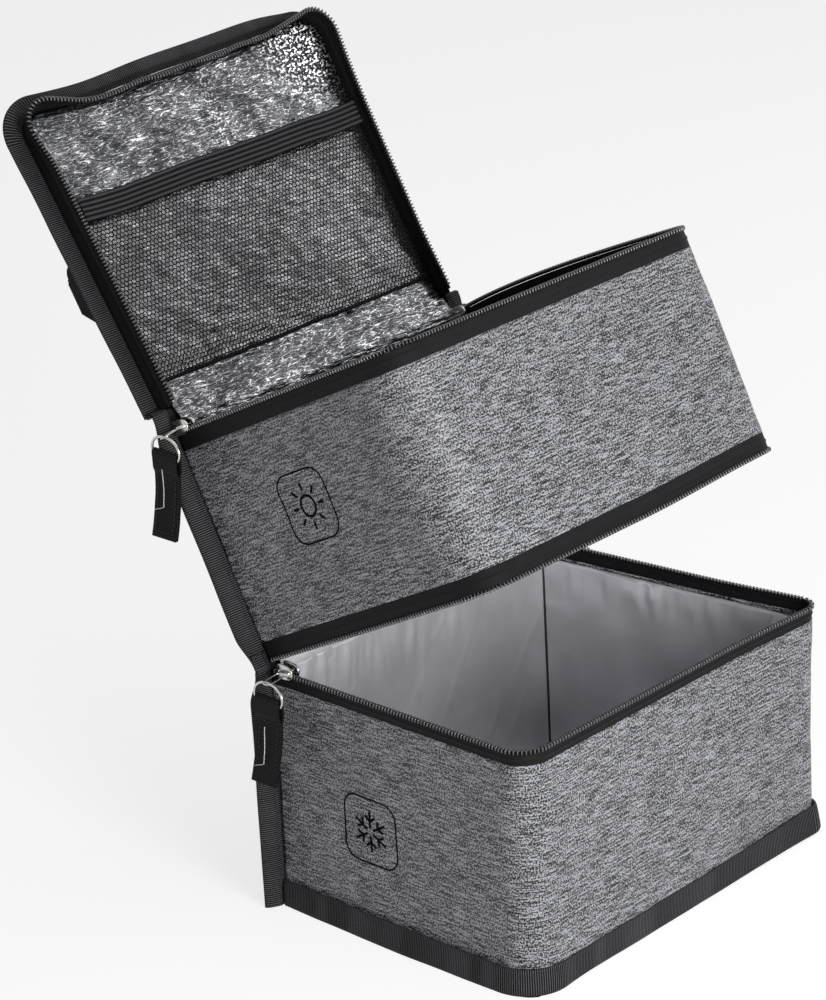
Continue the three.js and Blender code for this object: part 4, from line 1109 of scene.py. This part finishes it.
def meshPocket():
    # hexagons: zigzag yarns along x, joined by short yarns along y, each stretch a four-sided bar
    columns = int(2 * net["half"] / net["cellWide"]) * 2
    rows = int((net["top"] - net["bottom"]) / net["cellHigh"])
    i, j = np.meshgrid(np.arange(columns + 1), np.arange(rows + 1), indexing="ij")
    x = -net["half"] + i * net["cellWide"] / 2
    zig = np.where((i + j) % 2 == 0, 0.17, -0.17) * net["cellHigh"]
    y = -net["bottom"] - j * net["cellHigh"] + zig
    x = x + 0.28 * valueNoise(x / 7, y / 7, 142)
    y = y + 0.5 * valueNoise(x / 23, y / 17, 143) + 0.25 * valueNoise(x / 6, y / 6, 144)
    knots = np.stack([x, y, netLevel(x, y)], -1)
    joined = ((i + j) % 2 == 1)[:, :-1]
    a = toWorld("lid", np.concatenate([knots[:-1, :].reshape(-1, 3), knots[:, :-1][joined]]))
    b = toWorld("lid", np.concatenate([knots[1:, :].reshape(-1, 3), knots[:, 1:][joined]]))
    face = unit(toWorld("lid", [[0, 0, 1]])[0] - toWorld("lid", [[0, 0, 0]])[0])
    along, yarn = unit(b - a), net["yarn"] / 2000
    side = unit(np.cross(along, face))
    axes = np.stack([(b - a) / 2 * 1.06, side * yarn, np.cross(along, side) * yarn], 1)
    shape = np.array([[e, c, s] for e in (-1, 1) for c, s in ((1, 0), (0, 1), (-1, 0), (0, -1))], float)
    faces = [np.array([[0, 1, 5, 4], [1, 2, 6, 5], [2, 3, 7, 6], [3, 0, 4, 7], [3, 2, 1, 0], [4, 5, 6, 7]])]
    piece = repeatBody("meshPocket", shape, faces, (a + b) / 2, axes)
    finish(piece, netYarn, "lid", "pocket_net")
    level = net["bottom"] + net["hemStart"]
    x = np.linspace(-net["half"], net["half"], 200)
    line = np.stack([x, -level + 0.4 * wavy(x, 19, 145), netLevel(x, -level) + 0.3], -1)
    cordPiece("meshPocketHem", toWorld("lid", line), face, ovalSection(*net["hem"], 8, 3), ribbonTape,
              "lid")


elastic = dict(half=124.2, back=-123.7, wide=16.5, top=6.65, thick=1.35, thin=0.45, ridges=5)


def pocketElastic():
    # woven elastic with five soft lengthwise ridges: the outline is a row of half waves, carried along x
    wide, top = elastic["wide"], elastic["top"]
    v, back = np.linspace(0, 1, 61), np.linspace(1, 0, 9)
    ridge = np.abs(np.sin(math.pi * elastic["ridges"] * v)) ** 0.6
    deep = elastic["thin"] + (elastic["thick"] - elastic["thin"]) * ridge
    low = np.stack([elastic["back"] - wide * v, top - deep], -1)
    outline = np.concatenate([low, np.stack([elastic["back"] - wide * back, top + 0 * back], -1)])
    x = np.linspace(-elastic["half"], elastic["half"], 190)
    sway = 0.5 * wavy(x, 33, 151)
    lift = 0.3 * wavy(x, 21, 152)
    points = np.stack([np.broadcast_to(x[:, None], (len(x), len(outline))),
                       outline[None, :, 0] + sway[:, None], outline[None, :, 1] + lift[:, None]], -1)
    run = wide * np.concatenate([v, back])
    sweptPiece("pocketElasticBand", "lid", points, inMetres(x[:, None], run[None]), elasticTape,
               "pocket_elastic")


meshPocket()
pocketElastic()
print("mesh pocket made")

# carry handle
handle = dict(centre=96.0, rise=80.0, pivot=32.5, wide=24.0, thick=2.0, grip=29.0, gripThick=6.4,
              gripLength=92.0, square=1.6, sag=16.0, inset=4.6, cord=1.5, cordHigh=0.12, narrowing=11.0,
              edge=0.35)


def strapLine(count):
    # soft arch: x = reach cos^(2/p), z = pivot + rise sin^(2/p), p the arch's squareness, with even steps
    # along it; its weight draws it towards the hinge by sag sin^0.55
    angle = np.linspace(math.pi, 0, 600)
    c, s = np.cos(angle), np.sin(angle)
    reach = bag["width"] / 2 - handle["inset"]
    rise = handle["rise"] + bag["lidHeight"] - handle["pivot"]
    power = 2 / handle["square"]
    line = np.stack([reach * np.sign(c) * np.abs(c) ** power, -handle["centre"] + handle["sag"] * s ** 0.55,
                     handle["pivot"] + rise * s ** power], -1)
    even, run = resample(line, 1.0)
    at = np.linspace(0, run[-1], count)
    return pointsAt(at, run, even), at


def carryStrap():
    line, run = strapLine(260)
    blend = smoothStep(handle["gripLength"] / 2 - np.abs(line[:, 0]), -12, 2)
    wide = handle["wide"] + (handle["grip"] - handle["wide"]) * blend
    wide = wide - handle["narrowing"] * (1 - smoothStep(line[:, 2] - handle["pivot"], 0, 30))  # at its feet
    high = handle["thick"] + (handle["gripThick"] - handle["thick"]) * blend
    u, v = ovalSection(2, 2, 28, 5).T
    thinner = 1 - handle["edge"] * blend[:, None] * u ** 4
    outline = np.stack([u * wide[:, None] / 2, v * high[:, None] / 2 * thinner], -1)
    cords = handle["cordHigh"] * np.cos(2 * math.pi * run / handle["cord"])[:, None]
    outline[..., 1] += np.sign(v) * (cords * (np.abs(v) > 0.5))
    up = line - [0.0, -handle["centre"], handle["pivot"]]
    up[:, 1] = 0
    up[0], up[-1] = [-1, 0, 0], [1, 0, 0]
    points = carried(line, up, outline)
    sweptPiece("carryStrap", "lid", points, inMetres(around(points), run[:, None]), webTape,
               "carry_handle", "handle")
    # rounded foot that turns on the end tab: x from its middle, radius
    angle = np.linspace(0, 2 * math.pi, 33)[:-1]
    disc = ((-1.15, 5.0), (-1.2, 6.6), (-0.8, 6.9), (0.8, 6.9), (1.2, 6.6), (1.15, 5.0))
    for word, side in sides:
        x0 = side * abs(line[0, 0])
        rings = np.array([np.stack([x0 + x + 0 * angle, -handle["centre"] + r * np.cos(angle),
                                    handle["pivot"] + r * np.sin(angle)], -1) for x, r in disc])
        sweptPiece("carryStrapFoot" + word, "lid", rings, inMetres(rings[..., 2], rings[..., 1]), webTape,
                   None, "handle")


tab = dict(low=18.7, high=39.0, fade=25.8, foot=21.0, outer=128.9, inner=127.5)


def endTab(word, side):
    # flared webbing standing in the lid's side seam: wide at the seam, narrow above, leaning to the front
    z = np.linspace(tab["low"], tab["high"], 24)[:, None]
    v = np.linspace(-1, 1, 23)[None, :]
    rise = (z - tab["low"]) / tab["fade"]
    wide = tab["foot"] - 5 * rise - 12 * rise ** 2
    y = -handle["centre"] + 19 - 11 * rise + 4 * rise ** 2 + v * wide
    z = z + 0 * v
    cords = 0.1 * np.cos(2 * math.pi * y / handle["cord"])
    faces = tab["outer"] + cords * 0.6, tab["inner"] - cords * 0.3
    grids = [np.stack([side * x, y, z], -1) for x in faces]
    sheetPiece("handleTab" + word, "lid", grids, inMetres(y, z), webTape, "handle_tab_" + word.lower(),
               True)


carryStrap()
for word, side in sides:
    endTab(word, side)
print("handle made")


# zip sliders and their pulls
slider = dict(length=13.0, high=9.6, plate=1.4, face=1.2, innerFace=3.0, post=(3.0, 1.0),
              postEnds=(-1.9, 3.7), bail=(2.2, 1.1), bailSpan=9.0, bailRise=2.9)
pull = dict(start=3.65, tilt=8.0, offset=16.0, linkHalf=3.0, linkWire=0.6, ring=11.6, tall=8.4,
            ringWire=0.9, wide=20.0, thick=1.2, long=53.0, clear=0.4, curl=7.5, cord=1.5)
stitch = dict(pitch=3.1, length=2.3, thick=0.5, loose=0.55)
ringReach = (pull["offset"] - pull["start"]) / math.cos(math.radians(pull["tilt"]))
ringDrop = ringReach * math.sin(math.radians(pull["tilt"]))


def softened(points):
    # each corner cut twice at a quarter and three quarters of its sides: a smooth closed outline
    points = np.asarray(points, float)
    for _ in range(2):
        after = np.roll(points, -1, 0)
        points = np.stack([0.75 * points + 0.25 * after, 0.25 * points + 0.75 * after], 1).reshape(-1, 2)
    return points


def plate(outline, x0, x1):
    # thick plate with a rolled edge and a slightly domed face: rings of the outline from x0 to x1, each
    # with its share of the way and its size
    steps = ((0.0, 0.55), (0.0, 0.93), (0.25, 1.0), (0.7, 1.0), (0.92, 0.95), (1.0, 0.86), (1.05, 0.5),
             (1.07, 0.2))
    return np.array([np.concatenate([np.full((len(outline), 1), x0 + (x1 - x0) * share), outline * size], 1)
                     for share, size in steps])


def placedSlider(part, side, park, points, hang):
    # slider millimetres (outwards -x, along y, up z from the fold line) to the frame; a hung part is turned
    # back upright
    points = np.array(points, float)
    if hang is not None:
        points = turned(points, hang, 0, -ringDrop)
        points[..., 0] -= pull["offset"]
    points[..., 0] *= -side
    lean = side * math.atan2((bag["frontWidth"] - bag["backWidth"]) / 2, bag["depth"])
    x, y = points[..., 0].copy(), points[..., 1].copy()
    points[..., 0] = x * math.cos(lean) - y * math.sin(lean) + side * widthAt(-park) / 2
    points[..., 1] = x * math.sin(lean) + y * math.cos(lean) - park
    points[..., 2] += {"lower": bag["lowerHeight"], "middle": bag["middleHeight"]}[part]
    return toWorld(part, points, True)


def zipHardware(zipWord, word, part, side, park, hang):
    label = zipWord + word
    body = f"{zipWord}_{word.lower()}_zip"
    node = f"{zipWord}_{word.lower()}"
    half, tall = slider["length"] / 2, slider["high"] / 2
    rounding = ((-1, 0.55), (-0.35, 1), (0.85, 1), (1, 0.75))
    outline = softened([[half * a, -tall * b] for a, b in rounding]
                       + [[half * a, tall * b] for a, b in rounding[::-1]])

    def place(points, hung):
        return placedSlider(part, side, park, points, hung)

    def metal(word, points, end="_slider", nodeEnd=None, closed=False, hung=None):
        solid = sweptBody(label + word, place(points, hung), closed)
        finish(solid, nickel, body + end, nodeEnd and node + nodeEnd)

    face, back, thick = -slider["face"], slider["innerFace"], slider["plate"]
    metal("SliderFace", plate(outline, face, face - thick), nodeEnd="_slider")
    metal("SliderBack", plate(outline, back, back + thick))
    post = np.array([np.concatenate([np.full((12, 1), x), ovalSection(*slider["post"], 12, 3)], 1)
                     for x in np.linspace(*slider["postEnds"], 5)])
    metal("SliderPost", post)
    t = np.linspace(0, 1, 40)
    bail = np.stack([-2.0 - slider["bailRise"] * np.sin(math.pi * t) ** 0.55 - 0.4 * np.sin(math.pi * t),
                     (t - 0.5) * slider["bailSpan"], 0 * t], -1)
    up = np.array([-1.0, 0.0, 0.0]) + 0.001  # never along the bail
    metal("SliderBail", carried(bail, up, ovalSection(*slider["bail"], 12, 2.6)))

    # link: a wire bent to a long loop, tilted down from the bail
    reach = ringReach + pull["ringWire"] + 0.45 + pull["linkWire"]
    r = pull["linkHalf"]
    a = np.linspace(math.pi / 2, 3 * math.pi / 2, 18)
    loop = np.concatenate([np.stack([r + r * np.cos(a), r * np.sin(a)], -1),
                           np.stack([reach - r - r * np.cos(a), -r * np.sin(a)], -1)])
    tilt = math.radians(pull["tilt"])
    wire = np.stack([-pull["start"] - loop[:, 0] * math.cos(tilt), loop[:, 1],
                     -loop[:, 0] * math.sin(tilt)], -1)
    up = np.broadcast_to([-math.sin(tilt), 0, math.cos(tilt)], wire.shape)
    section = ovalSection(2 * pull["linkWire"], 2 * pull["linkWire"], 10)
    metal("Link", carried(wire, up, section, True), nodeEnd="_pull_link", closed=True)

    # ring: round wire bent to an oval
    a = np.linspace(0, 2 * math.pi, 96, endpoint=False)
    ring = np.stack([0 * a, pull["ring"] * np.sin(a), -pull["tall"] + pull["tall"] * np.cos(a)], -1)
    section = ovalSection(2 * pull["ringWire"], 2 * pull["ringWire"], 12)
    wire = carried(ring, np.broadcast_to([1.0, 0, 0], ring.shape), section, True)
    metal("Ring", wire, "_pull", "_pull_ring", True, hang)
    pullTape(label, body, node, place, hang, word)


def pullTape(label, body, node, place, hang, word):
    # webbing folded over the ring's lower half: up its outside, round over the wire, down its inside, sewn
    gap = pull["ringWire"] + pull["clear"]
    outer = gap + pull["thick"]
    pocket = pull["tall"] + outer
    mid = gap + pull["thick"] / 2
    turn = np.linspace(math.pi, 0, 15)
    fall = np.linspace(-pull["long"], -pocket - 2 * outer, 26)
    slope = np.linspace(0, 1, 9)[1:-1]
    low, high = -pocket - 2 * outer, -pocket
    thin = pull["thick"] / 2
    opening = thin + (mid - thin) * smoothStep(slope, 0, 1)
    apart = np.concatenate([thin + 0 * fall, opening, np.full(6, mid)])
    rise = np.concatenate([fall, low + (high - low) * slope, np.linspace(high, -outer, 6)])
    x = np.concatenate([-apart, mid * np.cos(turn), apart[::-1]])
    z = np.concatenate([rise, -outer + mid * np.sin(turn), rise[::-1]])
    keep = np.concatenate([[True], np.hypot(np.diff(x), np.diff(z)) > 1e-4])
    x, z = x[keep], z[keep]
    line = np.stack([x, 0 * x, z - pull["tall"]], -1)
    line, run = resample(line, 0.75)
    seed = sum(ord(c) for c in label) % 90
    tx, tz = np.gradient(line[:, 0]), np.gradient(line[:, 2])
    nx, nz = -tz / np.hypot(tx, tz), tx / np.hypot(tx, tz)
    v = np.linspace(-1, 1, 29)
    cords = 0.11 * np.cos(2 * math.pi * run / pull["cord"])[:, None]
    cords = cords * (0.55 + 0.45 * np.cos(2 * math.pi * v * 6.5)[None])
    sewn = -pull["tall"] - pocket - outer

    def curl(depth):  # how far the free end stands off the bag
        return -pull["curl"] * np.clip((sewn - depth) / 40, 0, 1) ** 1.6

    sway = 1.6 * smoothStep(sewn - line[:, 2], 0, 45) * np.sin(seed)
    y = v[None, :] * pull["wide"] / 2 * (1 + 0.02 * wavy(run, 9, seed))[:, None]
    grids = []
    for deep in (0.52, -0.5):
        lift = deep + (cords if deep > 0 else 0 * cords)
        x = (line[:, 0] + sway * 0.35 + curl(line[:, 2]))[:, None] + nx[:, None] * lift
        grids.append(np.stack([x, y, line[:, 2, None] + nz[:, None] * lift], -1))
    uv = inMetres(y, run[:, None])
    piece = sheetShell(label + "PullTape", place(grids[0], hang), place(grids[1], hang), uv)
    finish(piece, webTape, body + "_pull", node + "_pull_webbing")

    # box of stitches below the fold, and the pale loose end of thread that the sewing left
    top, foot, wide = sewn - 2.5, -pull["tall"] - pull["long"] + 4.0, pull["wide"] / 2 - 2.5
    face = -(pull["thick"] + 0.1)
    box = ((-1, top), (1, top), (1, foot), (-1, foot), (-1, top))
    box = np.array([[face, side * wide, level] for side, level in box])
    box = np.concatenate([np.linspace(a, b, 12)[:-1] for a, b in zip(box[:-1], box[1:])] + [box[-1:]])
    box[:, 0] += curl(box[:, 2])
    outwards = place([[-1, 0, 0]], hang)[0] - place([[0, 0, 0]], hang)[0]
    stitches(label + "PullStitches", place(box, hang), outwards, body + "_pull")
    if word == "Near":
        t = np.linspace(0, 1, 26)
        start, drop = (sewn + 3, 27.0) if label.startswith("upper") else (sewn - 6, 25.0)
        y = 2.5 - 1.5 * smoothStep(t, 0.0, 0.6) + 7.5 * smoothStep(t, 0.88, 1.0)
        thread = np.stack([face - 0.25 - 0.5 * np.sin(math.pi * t) - 0.5, y, start - drop * t], -1)
        thread[:, 0] += curl(thread[:, 2])
        section = ovalSection(stitch["loose"], stitch["loose"], 8)
        cordPiece(label + "LooseThread", place(thread, hang), outwards, section, whiteThread,
                  body + "_pull")


def stitches(name, path, up, body):
    # lock stitch: one small capsule per stitch along the path, its middle proud and its ends in the cloth
    length, radius = stitch["length"], stitch["thick"] / 2
    even, run = resample(path, 0.0008)
    at = np.arange(stitch["pitch"] / 2, run[-1] * 1000, stitch["pitch"]) / 1000
    ahead = 0.0006
    along = unit(pointsAt(at + ahead, run, even) - pointsAt(at - ahead, run, even))
    up = squareTo(np.broadcast_to(np.asarray(up, float), along.shape), along)
    axes = np.stack([along, np.cross(up, along), up], 1)
    ring = np.arange(6) * math.pi / 3
    shape = [[-length / 2, 0, -0.12]]
    for x, r, lift in ((-0.36, 0.8, -0.04), (0.0, 1.0, 0.06), (0.36, 0.8, -0.04)):
        shape += [[x * length, r * radius * math.cos(a), lift + r * radius * math.sin(a)] for a in ring]
    shape.append([length / 2, 0, -0.12])
    k = np.arange(6)
    n = (k + 1) % 6
    faces = [gridFaces(3, 6, 1, False, True),
             np.concatenate([np.stack([0 * k, 1 + n, 1 + k], -1),
                             np.stack([0 * k + 19, 13 + k, 13 + n], -1)])]
    piece = repeatBody(name, np.array(shape) / 1000, faces, pointsAt(at, run, even), axes)
    finish(piece, blackThread, body)


for word, side in sides:
    zipHardware("lower", word, "lower", side, 15.5, 0.0)
    zipHardware("upper", word, "middle", side, 10.5, hinges["middleOpen"])
print("sliders and pulls made")


# printed signs on the near side: a sun for warm, a snowflake for cold, thin ink lines that follow the cloth
signs = dict(wide=42.0, high=42.0, corner=10.0, frame=1.15, line=1.7, ink=0.16)
sun = dict(rays=8, disc=6.3, rayFrom=9.4, rayTo=14.2)
flake = dict(arms=6, armFrom=2.6, armTo=13.4, fork=6.6, twig=5.0, spread=52)


def stroke(part, line, wide, closed):
    # a printed line: (s, z) points on the near wall, swept with a flat section that stands on the cloth
    line = np.asarray(line, float)
    flat = np.concatenate([line, 0 * line[:, :1]], 1)
    if closed:
        flat = np.concatenate([flat, flat[:1]])
    even = resample(flat, 0.7)[0]
    if closed:
        even = even[:-1]
    s, z = even[:, 0], even[:, 1]
    lift = clothRelief(part, s, z)
    path = wallWorld(part, s, z, lift + 0.02)
    up = wallWorld(part, s, z, lift + 1.0) - path
    return carried(path, up, ovalSection(wide, signs["ink"] * 2, 8, 4) / 1000, closed), closed


def printSign(name, part, s0, z0, strokes):
    half, tall, corner = signs["wide"] / 2, signs["high"] / 2, signs["corner"]
    a = np.radians(np.arange(0, 91, 10))
    frameLine = []
    for cx, cz, turn in ((1, 1, 0), (-1, 1, 90), (-1, -1, 180), (1, -1, 270)):
        t = a + math.radians(turn)
        frameLine += list(zip(s0 + cx * (half - corner) + corner * np.cos(t),
                              z0 + cz * (tall - corner) + corner * np.sin(t)))
    made = [stroke(part, frameLine, signs["frame"], True)]
    for line, closed in strokes:
        made.append(stroke(part, np.asarray(line, float) + [s0, z0], signs["line"], closed))
    pieces = [sweptBody(name + str(i), points, closed) for i, (points, closed) in enumerate(made)]
    bpy.ops.object.select_all(action="DESELECT")
    for piece in pieces:
        piece.select_set(True)
    bpy.context.view_layer.objects.active = pieces[0]
    bpy.ops.object.join()
    pieces[0].name = name
    finish(pieces[0], printInk, part)


def sunStrokes():
    a = np.linspace(0, 2 * math.pi, 40, endpoint=False)
    lines = [(sun["disc"] * np.stack([np.cos(a), np.sin(a)], -1), True)]
    for turn in 2 * math.pi * np.arange(sun["rays"]) / sun["rays"]:
        ray = np.array([math.cos(turn), math.sin(turn)])
        lines.append(([sun["rayFrom"] * ray, sun["rayTo"] * ray], False))
    return lines


def flakeStrokes():
    lines = []
    for k in range(flake["arms"]):
        turn = math.radians(90 + 360 / flake["arms"] * k)
        arm = np.array([math.cos(turn), math.sin(turn)])
        lines.append(([flake["armFrom"] * arm, flake["armTo"] * arm], False))
        for lean in (-1, 1):
            b = turn + lean * math.radians(flake["spread"])
            tip = flake["fork"] * arm + flake["twig"] * np.array([math.cos(b), math.sin(b)])
            lines.append(([flake["fork"] * arm, tip], False))
    return lines


printSign("sunSign", "middle", 88.0, 80.5, sunStrokes())
printSign("snowflakeSign", "lower", 77.5, 69.5, flakeStrokes())
print("printed signs made")
